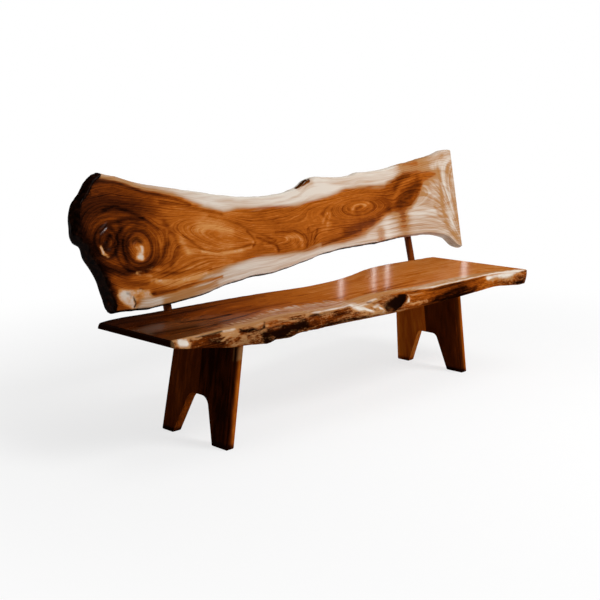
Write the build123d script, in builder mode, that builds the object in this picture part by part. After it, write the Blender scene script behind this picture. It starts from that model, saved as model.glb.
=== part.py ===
"""Live-edge slab bench: seat slab, leaning back slab, two splayed plank legs and two round back posts."""

import os
from math import cos, radians, sin, tan

from build123d import *

# ----------------------------------------------------------------------------------------------
# Driving sizes, in millimetres and degrees
# ----------------------------------------------------------------------------------------------

# Seat slab. Its two live edges wander about straight guide lines that are seat_depth apart.
seat_length = 1915
seat_depth = 410
seat_height = 450
seat_thickness = 65
seat_widest_below_top = 28
seat_rear_bulge = 15
seat_underside_inset = 10
seat_end_thickness = 25
seat_bevel_length = 250

# Back slab. Heights run up its lean from the level of the seat's top.
back_length = 2212
back_thickness = 50
back_lower_line = 60
back_upper_line = 440
back_rake = 13
back_offset = 73
back_arris_inset = 8
back_bark_inset = 18

# Back posts. Their axes stand this far inside the seat's ends.
post_diameter = 32
post_from_left_end = 309.5
post_from_right_end = 139.5
post_let_in_seat = 12
post_let_in_back = 8
post_top = 330
post_top_chamfer = 3

# Legs. Widths run along Y, heights up the lean of the boards, whose outer faces stand on the floor
# leg_from_seat_end inside the seat's ends.
leg_from_seat_end = 236.5
leg_splay = 9
leg_thickness = 36
leg_front_foot = 183
leg_rear_foot = 188
leg_rear_taper = 30
leg_arris_radius = 5
leg_foot_chamfer = 3
arch_height = 172
arch_foot_front = 102
arch_foot_rear = 123
arch_crown_front = 53
arch_crown_rear = 47
arch_radius_left = 42
arch_radius_right = 24

# Joinery
tenon_width = 70
tenon_thickness = 16
tenon_height = 28
tenon_from_joint = 45
dowel_diameter = 10
dowel_length = 60
dowel_first_height = 215
dowel_pitch = 60
dowel_count = 3
batten_height = 38
batten_thickness = 40
batten_front = 120
batten_rear = 130
batten_screw_margin = 25
batten_screw_count = 3

# Fasteners. The coach screws' seat places are below the seat's top, their back places up the lean.
coach_shank = 6
coach_head_across_flats = 10
coach_head_height = 4
coach_grip_in_seat = 55
coach_grip_in_back = 31
coach_point = 5
coach_seat_low = 47
coach_seat_high = 20
coach_back_low = 165
coach_back_high = 285
washer_diameter = 16
washer_thickness = 1.5
spot_face_diameter = 18
spot_face_depth = 3
wood_screw_shank = 4.5
wood_screw_head = 9
wood_screw_bite_seat = 32
wood_screw_bite_leg = 24
wood_screw_point = 4

# Clearances
wood_fit = 0.15
mortise_end_gap = 0.8
screw_fit = 0.05
post_fit = 0.1

# Live edges of the seat: share of the length from the middle, then how far the top arris and
# the widest line stand outside the front guide line.
seat_front_edge = [
    (-0.50, -12, 3),
    (-0.44, -9, 8),
    (-0.38, -2, 19),
    (-0.34, -6, 40),
    (-0.305, -1, 73),
    (-0.277, -7, 56),
    (-0.25, -13, 69),
    (-0.21, -8, 47),
    (-0.15, 24, 51),
    (-0.09, 40, 59),
    (-0.03, 0, 71),
    (0.03, -18, 82),
    (0.10, -9, 87),
    (0.17, 30, 90),
    (0.24, 41, 89),
    (0.31, 43, 83),
    (0.38, 51, 72),
    (0.44, 67, 81),
    (0.47, 92, 118),
    (0.50, 124, 124),
]
# The same for the rear edge, top arris only.
seat_rear_edge = [
    (-0.50, 14),
    (-0.48, 23),
    (-0.46, 27),
    (-0.40, 15),
    (-0.32, 6),
    (-0.20, -9),
    (-0.10, -32),
    (0.02, -69),
    (0.13, -56),
    (0.20, -20),
    (0.25, 10),
    (0.32, 26),
    (0.40, 16),
    (0.50, -5),
]

# Live edges of the back slab: share of the length from the middle, then height above the guide line
# as a share of the way from the lower guide line to the upper one.
back_upper_edge = [
    (-0.433, 0.242),
    (-0.403, 0.197),
    (-0.367, 0.126),
    (-0.283, 0.024),
    (-0.204, -0.068),
    (-0.119, -0.145),
    (-0.043, -0.150),
    (-0.010, -0.129),
    (0.016, -0.089),
    (0.042, -0.024),
    (0.094, -0.026),
    (0.128, -0.042),
    (0.163, -0.037),
    (0.188, -0.016),
    (0.238, -0.016),
    (0.337, 0.045),
    (0.419, 0.097),
    (0.485, 0.158),
    (0.50, 0.155),
]
back_lower_edge = [
    (-0.451, -0.095),
    (-0.425, -0.103),
    (-0.376, -0.124),
    (-0.312, -0.108),
    (-0.257, -0.084),
    (-0.199, -0.034),
    (-0.139, -0.003),
    (-0.094, 0.0),
    (-0.046, 0.021),
    (0.003, 0.058),
    (0.055, 0.103),
    (0.108, 0.121),
    (0.199, 0.121),
    (0.296, 0.134),
    (0.355, 0.129),
    (0.416, 0.082),
    (0.453, 0.0),
    (0.469, -0.084),
    (0.486, -0.118),
]
# Natural left end of the back slab between those two edges, from the top down: distance inside the
# slab's leftmost point as a share of the length, then height above the lower guide line as a share.
back_left_end = [
    (0.0574, 1.226),
    (0.0439, 1.176),
    (0.0262, 1.055),
    (0.0118, 0.976),
    (0.0054, 0.895),
    (0.0014, 0.768),
    (0.0, 0.663),
    (0.0036, 0.611),
    (0.0127, 0.571),
    (0.0163, 0.458),
    (0.0249, 0.355),
    (0.0330, 0.242),
    (0.0384, 0.074),
    (0.0439, -0.058),
]

# ----------------------------------------------------------------------------------------------
# Worked-out sizes and planes
# ----------------------------------------------------------------------------------------------

seat_underside = seat_height - seat_thickness
post_radius = post_diameter / 2
rake = radians(back_rake)
splay = radians(leg_splay)


def edge_offset(edge, share):
    """Offset of a live edge at a share of the length, read along straight lines between its points."""
    for (share_a, offset_a, *_), (share_b, offset_b, *_) in zip(edge, edge[1:]):
        if share_a <= share <= share_b:
            return offset_a + (offset_b - offset_a) * (share - share_a) / (share_b - share_a)
    raise ValueError("share lies outside the edge")


leg_foot_x = seat_length / 2 - leg_from_seat_end
post_x = {
    "left": post_from_left_end - seat_length / 2,
    "right": seat_length / 2 - post_from_right_end,
}

# The posts stand let into the rear edge, measured where that edge is the less deep of the two.
rear_edge_at_posts = seat_depth / 2 + min(
    edge_offset(seat_rear_edge, x / seat_length) for x in post_x.values()
)
post_axis_y = rear_edge_at_posts - post_let_in_seat + post_radius / cos(rake)

# Local X runs along the bench, local Y up the lean of the back and local Z out of its front face.
back_plane = Plane(
    origin=(0, post_axis_y, seat_height), x_dir=(1, 0, 0), z_dir=(0, -cos(rake), sin(rake))
)
back_rear_face = post_radius - post_let_in_back

# Outer face of the right leg. Local X runs along Y, local Y up the boards and local Z outwards.
leg_plane = Plane(
    origin=(leg_foot_x, 0, 0), x_dir=(0, 1, 0), z_dir=(cos(splay), 0, sin(splay))
)
leg_top = seat_underside / cos(splay)
leg_mid_depth = -leg_thickness / 2
tenon_centre = tenon_from_joint + tenon_width / 2
dowel_heights = [dowel_first_height + index * dowel_pitch for index in range(dowel_count)]


def leg_inner_x(height):
    """X of the right leg's inner face at a height above the floor."""
    return leg_foot_x - height * tan(splay) - leg_thickness / cos(splay)


def leg_height_at(height, depth):
    """Distance up the leg boards to a level height, at a depth behind their outer face."""
    return (height - depth * sin(splay)) / cos(splay)


# ----------------------------------------------------------------------------------------------
# Cutters and fasteners that several pieces share
# ----------------------------------------------------------------------------------------------

# The post cutters start this far up the lean, clear below the seat.
post_foot = -2 * seat_thickness


def post_axis_plane(x):
    """Plane square to a post's axis, well below the seat: local Y points to the rear."""
    return Plane(
        origin=back_plane.from_local_coords((x, post_foot, 0)),
        x_dir=(1, 0, 0),
        z_dir=back_plane.y_dir,
    )


def post_blank(x, grow):
    """Round bar along a post's axis, from below the seat to the post's top, grown for a clearance."""
    with BuildPart() as blank:
        with BuildSketch(post_axis_plane(x)):
            Circle(post_radius + grow)
        extrude(amount=post_top - post_foot + grow)
    return blank.part


def post_notch(x):
    """Round-bottomed slot, open to the rear, that a post stands in at the seat's rear edge."""
    radius = post_radius + post_fit
    with BuildPart() as notch:
        with BuildSketch(post_axis_plane(x)):
            Circle(radius)
            Rectangle(2 * radius, seat_depth, align=(Align.CENTER, Align.MIN))
        extrude(amount=2 * seat_thickness - post_foot)
    return notch.part


def tenon_blank(centre_y, grow, end_gap):
    """Tenon of the right leg, square to the leaning board, grown for its mortise."""
    shoulder = leg_height_at(seat_underside, leg_mid_depth)
    width = tenon_width + 2 * grow
    height = tenon_height + leg_thickness + end_gap
    with BuildPart() as blank:
        with BuildSketch(leg_plane.offset(leg_mid_depth)):
            with Locations((centre_y, shoulder - leg_thickness)):
                Rectangle(width, height, align=(Align.CENTER, Align.MIN))
        extrude(amount=tenon_thickness / 2 + grow, both=True)
    return blank.part


def wood_screw(length, grow=0):
    """Countersunk wood screw along +Z with its head's face at the origin, or the hole for one."""
    head = wood_screw_head / 2 + grow
    shank = wood_screw_shank / 2 + grow
    with BuildPart() as screw:
        with BuildSketch(Plane.XZ):
            with BuildLine():
                Polyline(
                    (0, 0),
                    (head, 0),
                    (shank, head - shank),
                    (shank, length - wood_screw_point),
                    (0, length + grow),
                    close=True,
                )
            make_face()
        revolve(axis=Axis.Z)
    return screw.part


def coach_screw(length):
    """Hex-head coach screw along +Z, with the wood's spot face at the origin and a washer between."""
    shank = coach_shank / 2
    with BuildPart() as screw:
        with BuildSketch(Plane.XY.offset(-washer_thickness)):
            RegularPolygon(coach_head_across_flats / 2, 6, major_radius=False)
        extrude(amount=-coach_head_height)
        with BuildSketch(Plane.XZ):
            with BuildLine():
                Polyline(
                    (0, -washer_thickness),
                    (shank, -washer_thickness),
                    (shank, length - coach_point),
                    (0, length),
                    close=True,
                )
            make_face()
        revolve(axis=Axis.Z)
    return screw.part


def spaced(first, last, count):
    """Evenly spaced values from first to last, for two or more."""
    return [first + (last - first) * index / (count - 1) for index in range(count)]


# Wood screws of the right batten: straight up into the seat, and outwards into the leg between them.
batten_x = leg_inner_x(seat_underside) - batten_thickness
batten_screw_y = spaced(
    batten_screw_margin - batten_front, batten_rear - batten_screw_margin, batten_screw_count
)
seat_screw_places = [
    Plane(
        origin=(batten_x + batten_thickness / 2, y, seat_underside - batten_height), z_dir=(0, 0, 1)
    )
    for y in batten_screw_y
]
leg_screw_z = seat_underside - batten_height / 2
leg_screw_places = [
    Plane(origin=(batten_x, (y_a + y_b) / 2, leg_screw_z), z_dir=(1, 0, 0))
    for y_a, y_b in zip(batten_screw_y, batten_screw_y[1:])
]
seat_screw_length = batten_height + wood_screw_bite_seat
leg_screw_length = leg_inner_x(leg_screw_z) - batten_x + wood_screw_bite_leg

# Coach screws of each post: level into the seat, and square to the lean into the back slab.
post_cut = post_radius / cos(rake)
seat_coach_heights = [seat_height - depth for depth in (coach_seat_low, coach_seat_high)]
seat_coach_length = 2 * post_cut - spot_face_depth + coach_grip_in_seat
back_coach_length = post_diameter - spot_face_depth + coach_grip_in_back


def seat_coach_places(x):
    """Spot faces on the back of a post for the screws into the seat, facing out of the wood."""
    return [
        Plane(
            origin=(
                x,
                post_axis_y + (z - seat_height) * tan(rake) + post_cut - spot_face_depth,
                z,
            ),
            z_dir=(0, -1, 0),
        )
        for z in seat_coach_heights
    ]


def back_coach_places(x):
    """Spot faces on the back of a post for the screws into the back slab."""
    return [
        Plane(
            origin=back_plane.from_local_coords((x, height, spot_face_depth - post_radius)),
            z_dir=back_plane.z_dir,
        )
        for height in (coach_back_low, coach_back_high)
    ]


def drill(places, radius, length):
    """Cut straight round holes of one length into the part being built."""
    with Locations(*places):
        Cylinder(radius, length, align=(Align.CENTER, Align.CENTER, Align.MIN), mode=Mode.SUBTRACT)


# ----------------------------------------------------------------------------------------------
# Seat slab
# ----------------------------------------------------------------------------------------------


def seat_outline(height, column, front_inset, rear_outset):
    """Face of the seat's outline at one height, between two live edges and two sawn ends."""
    half_depth = seat_depth / 2
    front = [(row[0] * seat_length, front_inset - half_depth - row[column]) for row in seat_front_edge]
    rear = [(share * seat_length, half_depth + offset + rear_outset) for share, offset in seat_rear_edge]
    with BuildSketch(Plane.XY.offset(height)) as outline:
        with BuildLine():
            Spline(*front)
            Line(front[-1], rear[-1])
            Spline(*reversed(rear))
            Line(rear[0], front[0])
        make_face()
    return outline.sketch


with BuildPart() as seat_slab:
    loft(
        [
            seat_outline(seat_underside, 2, seat_underside_inset, -seat_underside_inset),
            seat_outline(seat_height - seat_widest_below_top, 2, 0, seat_rear_bulge),
            seat_outline(seat_height, 1, 0, 0),
        ]
    )
    # Long bevel under the left end
    end_x = -seat_length / 2
    with BuildSketch(Plane.XZ):
        with BuildLine():
            Polyline(
                (end_x, seat_underside),
                (end_x + seat_bevel_length, seat_underside),
                (end_x, seat_height - seat_end_thickness),
                close=True,
            )
        make_face()
    extrude(amount=seat_depth, both=True, mode=Mode.SUBTRACT)
    # Notches for the posts in the rear edge, and their screw holes
    for x in post_x.values():
        add(post_notch(x), mode=Mode.SUBTRACT)
        drill(seat_coach_places(x), coach_shank / 2 + screw_fit, seat_coach_length)
    # Mortises and batten screw holes over each leg
    for tenon_y in (-tenon_centre, tenon_centre):
        mortise = tenon_blank(tenon_y, wood_fit, mortise_end_gap)
        add(mortise, mode=Mode.SUBTRACT)
        mirror(mortise, about=Plane.YZ, mode=Mode.SUBTRACT)
    for place in seat_screw_places:
        hole = wood_screw(seat_screw_length, screw_fit).moved(place.location)
        add(hole, mode=Mode.SUBTRACT)
        mirror(hole, about=Plane.YZ, mode=Mode.SUBTRACT)

# ----------------------------------------------------------------------------------------------
# Back slab
# ----------------------------------------------------------------------------------------------


def back_outline(depth, inset, end_inset):
    """Face of the back slab's outline at one depth in front of the posts' axes."""
    left_x = back_offset - back_length / 2
    line_gap = back_upper_line - back_lower_line
    upper = [
        (back_offset + share * back_length, back_upper_line + above * line_gap - inset)
        for share, above in back_upper_edge
    ]
    lower = [
        (back_offset + share * back_length, back_lower_line + above * line_gap + inset)
        for share, above in back_lower_edge
    ]
    left = [
        (left_x + inside * back_length + end_inset, back_lower_line + above * line_gap)
        for inside, above in back_left_end
    ]
    with BuildSketch(back_plane.offset(depth)) as outline:
        with BuildLine():
            Spline(*lower)
            Line(lower[-1], upper[-1])
            Spline(*reversed(upper))
            Spline(upper[0], *left, lower[0])
        make_face()
    return outline.sketch


with BuildPart() as back_slab:
    loft(
        [
            back_outline(back_rear_face, back_arris_inset, back_arris_inset),
            back_outline(back_rear_face + back_thickness / 2, 0, 0),
            back_outline(back_rear_face + back_thickness, back_arris_inset, back_bark_inset),
        ]
    )
    # Shallow round grooves that the posts lie in, and their screw holes
    for x in post_x.values():
        add(post_blank(x, post_fit), mode=Mode.SUBTRACT)
        drill(back_coach_places(x), coach_shank / 2 + screw_fit, back_coach_length)

# ----------------------------------------------------------------------------------------------
# Legs: two boards each, glued edge to edge along the leg's middle
# ----------------------------------------------------------------------------------------------


def leg_panel(crown_radius):
    """Right leg's whole panel with its arch, drawn too long and then cut level at both ends."""
    beyond = leg_thickness
    front_slope = (arch_foot_front - arch_crown_front) / arch_height
    rear_slope = (arch_foot_rear - arch_crown_rear) / arch_height
    taper = leg_rear_taper / leg_top
    top = leg_top + beyond
    crown = [(-arch_crown_front, arch_height), (arch_crown_rear, arch_height)]
    with BuildPart() as panel:
        with BuildSketch(leg_plane) as face:
            with BuildLine():
                Polyline(
                    (-leg_front_foot, -beyond),
                    (-arch_foot_front - front_slope * beyond, -beyond),
                    *crown,
                    (arch_foot_rear + rear_slope * beyond, -beyond),
                    (leg_rear_foot + taper * beyond, -beyond),
                    (leg_rear_foot - taper * top, top),
                    (-leg_front_foot, top),
                    close=True,
                )
            make_face()
            corners = [face.vertices().sort_by_distance(point)[0] for point in crown]
            fillet(corners, radius=crown_radius)
        extrude(amount=-leg_thickness)
        outer_arrises = panel.edges().filter_by(lambda edge: edge.length > leg_top)
        fillet(outer_arrises.filter_by(Axis.Y, reverse=True), radius=leg_arris_radius)
        split(bisect_by=Plane.XY, keep=Keep.TOP)
        split(bisect_by=Plane.XY.offset(seat_underside), keep=Keep.BOTTOM)
        chamfer(panel.faces().group_by(Axis.Z)[0].edges(), leg_foot_chamfer)
    return panel.part


def leg_board(side, crown_radius):
    """Right leg's board in front of (side -1) or behind (side 1) the glue joint."""
    joint_holes = [
        Plane(origin=leg_plane.from_local_coords((0, height, leg_mid_depth)), z_dir=(0, side, 0))
        for height in dowel_heights
    ]
    with BuildPart() as board:
        add(leg_panel(crown_radius))
        split(bisect_by=Plane.ZX, keep=Keep.TOP if side > 0 else Keep.BOTTOM)
        add(tenon_blank(side * tenon_centre, 0, 0))
        drill(joint_holes, dowel_diameter / 2 + wood_fit, dowel_length / 2 + mortise_end_gap)
        for place in leg_screw_places:
            add(wood_screw(leg_screw_length, screw_fit).moved(place.location), mode=Mode.SUBTRACT)
    return board.part


with BuildPart() as right_leg_front_board:
    add(leg_board(-1, arch_radius_right))

with BuildPart() as right_leg_rear_board:
    add(leg_board(1, arch_radius_right))

with BuildPart() as left_leg_front_board:
    mirror(leg_board(-1, arch_radius_left), about=Plane.YZ)

with BuildPart() as left_leg_rear_board:
    mirror(leg_board(1, arch_radius_left), about=Plane.YZ)

with BuildPart() as right_leg_dowels:
    for height in dowel_heights:
        with Locations(
            Plane(origin=leg_plane.from_local_coords((0, height, leg_mid_depth)), z_dir=(0, 1, 0))
        ):
            Cylinder(dowel_diameter / 2, dowel_length)

with BuildPart() as left_leg_dowels:
    mirror(right_leg_dowels.part, about=Plane.YZ)

# ----------------------------------------------------------------------------------------------
# Battens in the corner between each leg and the seat, with their screws
# ----------------------------------------------------------------------------------------------

with BuildPart() as right_batten:
    batten_foot = seat_underside - batten_height
    with BuildSketch(Plane.XZ.offset(batten_front)):
        with BuildLine():
            Polyline(
                (batten_x, seat_underside),
                (leg_inner_x(seat_underside), seat_underside),
                (leg_inner_x(batten_foot), batten_foot),
                (batten_x, batten_foot),
                close=True,
            )
        make_face()
    extrude(amount=-(batten_front + batten_rear))
    for place in seat_screw_places:
        add(wood_screw(seat_screw_length, screw_fit).moved(place.location), mode=Mode.SUBTRACT)
    for place in leg_screw_places:
        add(wood_screw(leg_screw_length, screw_fit).moved(place.location), mode=Mode.SUBTRACT)

with BuildPart() as left_batten:
    mirror(right_batten.part, about=Plane.YZ)

with BuildPart() as right_batten_seat_screws:
    with Locations(*seat_screw_places):
        add(wood_screw(seat_screw_length))

with BuildPart() as left_batten_seat_screws:
    mirror(right_batten_seat_screws.part, about=Plane.YZ)

with BuildPart() as right_batten_leg_screws:
    with Locations(*leg_screw_places):
        add(wood_screw(leg_screw_length))

with BuildPart() as left_batten_leg_screws:
    mirror(right_batten_leg_screws.part, about=Plane.YZ)

# ----------------------------------------------------------------------------------------------
# Back posts with their coach screws and washers
# ----------------------------------------------------------------------------------------------


def back_post(x):
    """Round raked post, cut level under the seat, spot-faced and drilled from behind."""
    hole_radius = coach_shank / 2 + screw_fit
    with BuildPart() as post:
        add(post_blank(x, 0))
        chamfer(post.faces().sort_by(back_axis)[-1].edges(), post_top_chamfer)
        split(bisect_by=Plane.XY.offset(seat_underside), keep=Keep.TOP)
        for places, length in (
            (seat_coach_places(x), seat_coach_length),
            (back_coach_places(x), back_coach_length),
        ):
            drill(places, hole_radius, length)
            facing = [Plane(origin=place.origin, z_dir=-place.z_dir) for place in places]
            drill(facing, spot_face_diameter / 2, post_radius)
    return post.part


def post_coach_screws(x):
    """Four coach screws of one post as a group."""
    with BuildPart() as screws:
        with Locations(*seat_coach_places(x)):
            add(coach_screw(seat_coach_length))
        with Locations(*back_coach_places(x)):
            add(coach_screw(back_coach_length))
    return screws.part


def post_washers(x):
    """Four washers of one post as a group."""
    with BuildPart() as washers:
        for place in seat_coach_places(x) + back_coach_places(x):
            with BuildSketch(place):
                Circle(washer_diameter / 2)
                Circle(coach_shank / 2 + screw_fit, mode=Mode.SUBTRACT)
        extrude(amount=-washer_thickness)
    return washers.part


back_axis = Axis(back_plane.origin, back_plane.y_dir)

with BuildPart() as left_back_post:
    add(back_post(post_x["left"]))

with BuildPart() as right_back_post:
    add(back_post(post_x["right"]))

with BuildPart() as left_post_coach_screws:
    add(post_coach_screws(post_x["left"]))

with BuildPart() as right_post_coach_screws:
    add(post_coach_screws(post_x["right"]))

with BuildPart() as left_post_washers:
    add(post_washers(post_x["left"]))

with BuildPart() as right_post_washers:
    add(post_washers(post_x["right"]))

# ----------------------------------------------------------------------------------------------
# Labels and files, with the origin on the floor under the middle of the whole bench
# ----------------------------------------------------------------------------------------------

pieces = {
    "seat_slab": seat_slab,
    "back_slab": back_slab,
    "left_leg_front_board": left_leg_front_board,
    "left_leg_rear_board": left_leg_rear_board,
    "right_leg_front_board": right_leg_front_board,
    "right_leg_rear_board": right_leg_rear_board,
    "left_leg_dowels": left_leg_dowels,
    "right_leg_dowels": right_leg_dowels,
    "left_batten": left_batten,
    "right_batten": right_batten,
    "left_batten_seat_screws": left_batten_seat_screws,
    "right_batten_seat_screws": right_batten_seat_screws,
    "left_batten_leg_screws": left_batten_leg_screws,
    "right_batten_leg_screws": right_batten_leg_screws,
    "left_back_post": left_back_post,
    "right_back_post": right_back_post,
    "left_post_coach_screws": left_post_coach_screws,
    "right_post_coach_screws": right_post_coach_screws,
    "left_post_washers": left_post_washers,
    "right_post_washers": right_post_washers,
}

boxes = [piece.part.bounding_box() for piece in pieces.values()]
middle_x = (min(box.min.X for box in boxes) + max(box.max.X for box in boxes)) / 2
middle_y = (min(box.min.Y for box in boxes) + max(box.max.Y for box in boxes)) / 2

os.makedirs("parts", exist_ok=True)
for name, piece in pieces.items():
    piece.part.label = name
    piece.part.move(Location((-middle_x, -middle_y, 0)))
    export_step(piece.part, f"parts/{name}.step")

print("origin moved by", round(-middle_x, 3), round(-middle_y, 3))
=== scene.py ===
"""Finish, live edges and studio for the live-edge slab bench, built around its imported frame."""

import itertools
from math import cos, pi, radians, sin, tan

import bpy
import numpy as np
from bpy.props import FloatProperty, FloatVectorProperty, PointerProperty
from mathutils import Matrix, Vector


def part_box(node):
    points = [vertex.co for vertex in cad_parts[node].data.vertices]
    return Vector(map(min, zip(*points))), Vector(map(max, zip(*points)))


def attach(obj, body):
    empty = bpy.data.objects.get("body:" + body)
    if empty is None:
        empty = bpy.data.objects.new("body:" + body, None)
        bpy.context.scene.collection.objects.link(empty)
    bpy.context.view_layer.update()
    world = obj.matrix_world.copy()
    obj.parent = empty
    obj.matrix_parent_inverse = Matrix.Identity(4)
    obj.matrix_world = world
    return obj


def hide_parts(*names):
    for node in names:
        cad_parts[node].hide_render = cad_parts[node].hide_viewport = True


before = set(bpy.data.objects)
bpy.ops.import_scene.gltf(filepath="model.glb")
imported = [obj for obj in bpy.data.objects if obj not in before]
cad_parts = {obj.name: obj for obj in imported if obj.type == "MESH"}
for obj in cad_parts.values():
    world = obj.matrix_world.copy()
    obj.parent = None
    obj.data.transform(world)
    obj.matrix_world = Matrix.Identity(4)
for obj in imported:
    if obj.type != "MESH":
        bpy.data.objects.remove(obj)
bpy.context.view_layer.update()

bl_info = {
    "name": "Live-edge slab bench",
    "version": (1, 0, 0),
    "blender": (4, 5, 0),
    "location": "View3D > Sidebar > Bench",
    "description": "Makes the slabs, finishes and studio of a live-edge bench around its packed frame",
    "category": "Object",
}

# ------------------------------------------------------------------------------------------------
# Places and lengths: corners and middles of the frame in metres, and all others in millimetres,
# with places from the seat's middle
# ------------------------------------------------------------------------------------------------

MM = 0.001
SEAT_LOW, SEAT_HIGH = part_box("seat_slab")
BACK_LOW, BACK_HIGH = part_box("back_slab")
MIDDLE_X = (SEAT_LOW.x + SEAT_HIGH.x) / 2
# The legs' two boards meet in the middle of the seat's depth.
MIDDLE_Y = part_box("right_leg_front_board")[1].y
SEAT_LENGTH = (SEAT_HIGH.x - SEAT_LOW.x) / MM
SEAT_TOP = SEAT_HIGH.z / MM
SEAT_UNDER = SEAT_LOW.z / MM
SEAT_HALF_DEPTH = 205
SEAT_WIDEST = SEAT_TOP - 28
SEAT_REAR_BULGE = 15
SEAT_UNDER_INSET = 10
SEAT_END_THICKNESS = 25
SEAT_BEVEL = 250
SEAT_GRID = (540, 46, 34)

BACK_LENGTH = (BACK_HIGH.x - BACK_LOW.x) / MM
BACK_OFFSET = ((BACK_HIGH.x + BACK_LOW.x) / 2 - MIDDLE_X) / MM
BACK_LOWER_LINE = 60
BACK_UPPER_LINE = 440
BACK_REAR = 8
BACK_FRONT = 58
BACK_ARRIS_INSET = 8
BACK_BARK_INSET = 18
BACK_GRID = (450, 76, 18)
RAKE = radians(13)

POST_RADIUS = 16
POST_FIT = 0.1
POST_TOP = 330
POST_X = [
    (sum(corner.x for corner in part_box(f"{side}_back_post")) / 2 - MIDDLE_X) / MM
    for side in ("left", "right")
]
# The post's foremost point is on its foot, which stands level with the seat's underside.
POST_AXIS_Y = (
    (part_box("left_back_post")[0].y - MIDDLE_Y) / MM
    + POST_RADIUS / cos(RAKE)
    + (SEAT_TOP - SEAT_UNDER) * tan(RAKE)
)

# Seat's front edge: share of the length, then how far the top arris and the widest line stand out
# beyond its straight guide line, which is half the depth in front of the middle.
SEAT_FRONT = np.array([
    (-0.50, -12, 3), (-0.44, -9, 8), (-0.38, -2, 19), (-0.34, -6, 40), (-0.305, -1, 73),
    (-0.277, -7, 56), (-0.25, -13, 69), (-0.21, -8, 47), (-0.15, 24, 51), (-0.09, 40, 59),
    (-0.03, 0, 71), (0.03, -18, 82), (0.10, -9, 87), (0.17, 30, 90), (0.24, 41, 89),
    (0.31, 43, 83), (0.38, 51, 72), (0.44, 67, 81), (0.47, 92, 118), (0.50, 124, 124),
])
# Its rear edge: share of the length, then how far it stands out beyond its own guide line.
SEAT_REAR = np.array([
    (-0.50, 14), (-0.48, 23), (-0.46, 27), (-0.40, 15), (-0.32, 6), (-0.20, -9), (-0.10, -32),
    (0.02, -69), (0.13, -56), (0.20, -20), (0.25, 10), (0.32, 26), (0.40, 16), (0.50, -5),
])
# Back slab's edges: share of the length, then height over the edge's own guide line, as a share of
# the way between the two guide lines.
BACK_UPPER = np.array([
    (-0.433, 0.242), (-0.403, 0.197), (-0.367, 0.126), (-0.283, 0.024), (-0.204, -0.068),
    (-0.119, -0.145), (-0.043, -0.150), (-0.010, -0.129), (0.016, -0.089), (0.042, -0.024),
    (0.094, -0.026), (0.128, -0.042), (0.163, -0.037), (0.188, -0.016), (0.238, -0.016),
    (0.337, 0.045), (0.419, 0.097), (0.485, 0.158), (0.50, 0.155),
])
BACK_LOWER = np.array([
    (-0.451, -0.095), (-0.425, -0.103), (-0.376, -0.124), (-0.312, -0.108), (-0.257, -0.084),
    (-0.199, -0.034), (-0.139, -0.003), (-0.094, 0.0), (-0.046, 0.021), (0.003, 0.058),
    (0.055, 0.103), (0.108, 0.121), (0.199, 0.121), (0.296, 0.134), (0.355, 0.129),
    (0.416, 0.082), (0.453, 0.0), (0.469, -0.084), (0.486, -0.118),
])
# Its natural left end, from the bottom up: distance inside the leftmost point as a share of the
# length, then height over the lower guide line, as a share of the way to the upper one.
BACK_LEFT = np.array([
    (0.0439, -0.058), (0.0384, 0.074), (0.0330, 0.242), (0.0249, 0.355), (0.0163, 0.458),
    (0.0127, 0.571), (0.0036, 0.611), (0.0, 0.663), (0.0014, 0.768), (0.0054, 0.895),
    (0.0118, 0.976), (0.0262, 1.055), (0.0439, 1.176), (0.0574, 1.226),
])

# ------------------------------------------------------------------------------------------------
# Figure of the wood, in millimetres on each slab
# ------------------------------------------------------------------------------------------------

# A hill in the seat's growth rings: x, y, half length, half width, rings high.
SEAT_HILL = (-820, 15, 230, 60, 2.5)
# How many rings lie across the seat, and how thick each one is.
SEAT_RINGS_ACROSS = 11
SEAT_RING_THICKNESS = 7
# Hills in the back slab's growth rings: along, up, half length, half height, tilt, rings high.
BACK_HILLS = (
    (-385, 250, 225, 72, -21, 7.5),
    (-55, 178, 170, 52, -9, 7.0),
    (447, 276, 160, 56, -2, 5.0),
    (850, 318, 210, 60, 24, 1.2),
)
# Knots: along, up, radius, rings high, relief in millimetres.
BACK_KNOTS = (
    (-908, 281, 54, 9.0, -1.2),
    (-769, 243, 58, 10.5, 1.8),
)
# How many rings the back slab's middle stands over its edges, and how thick each one is.
BACK_RINGS_UP = 12
BACK_RING_THICKNESS = 9
# Borders of its heartwood with the upper and the lower sapwood: along, up.
BACK_SAP_ABOVE = np.array([
    (-1040, 535), (-940, 500), (-883, 502), (-829, 490), (-766, 468), (-713, 446), (-645, 431),
    (-572, 418), (-498, 387), (-422, 358), (-342, 338), (-263, 341), (-162, 327), (-55, 321),
    (57, 323), (175, 332), (296, 350), (384, 364), (513, 361), (647, 355), (722, 379), (792, 404),
    (898, 407), (935, 396), (1000, 394), (1035, 385), (1060, 340), (1200, 200),
])
BACK_SAP_BELOW = np.array([
    (-1040, -60), (-900, -20), (-840, 30), (-800, 58), (-730, 60), (-640, 54), (-560, 74),
    (-491, 96), (-402, 112), (-312, 134), (-208, 146), (-102, 135), (67, 131), (177, 142), (314, 143),
    (462, 160), (546, 200), (631, 236), (749, 238), (810, 250), (860, 282), (900, 322), (930, 360),
    (985, 376), (1035, 390), (1060, 410), (1200, 500),
])


# ------------------------------------------------------------------------------------------------
# Array tools
# ------------------------------------------------------------------------------------------------


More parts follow.
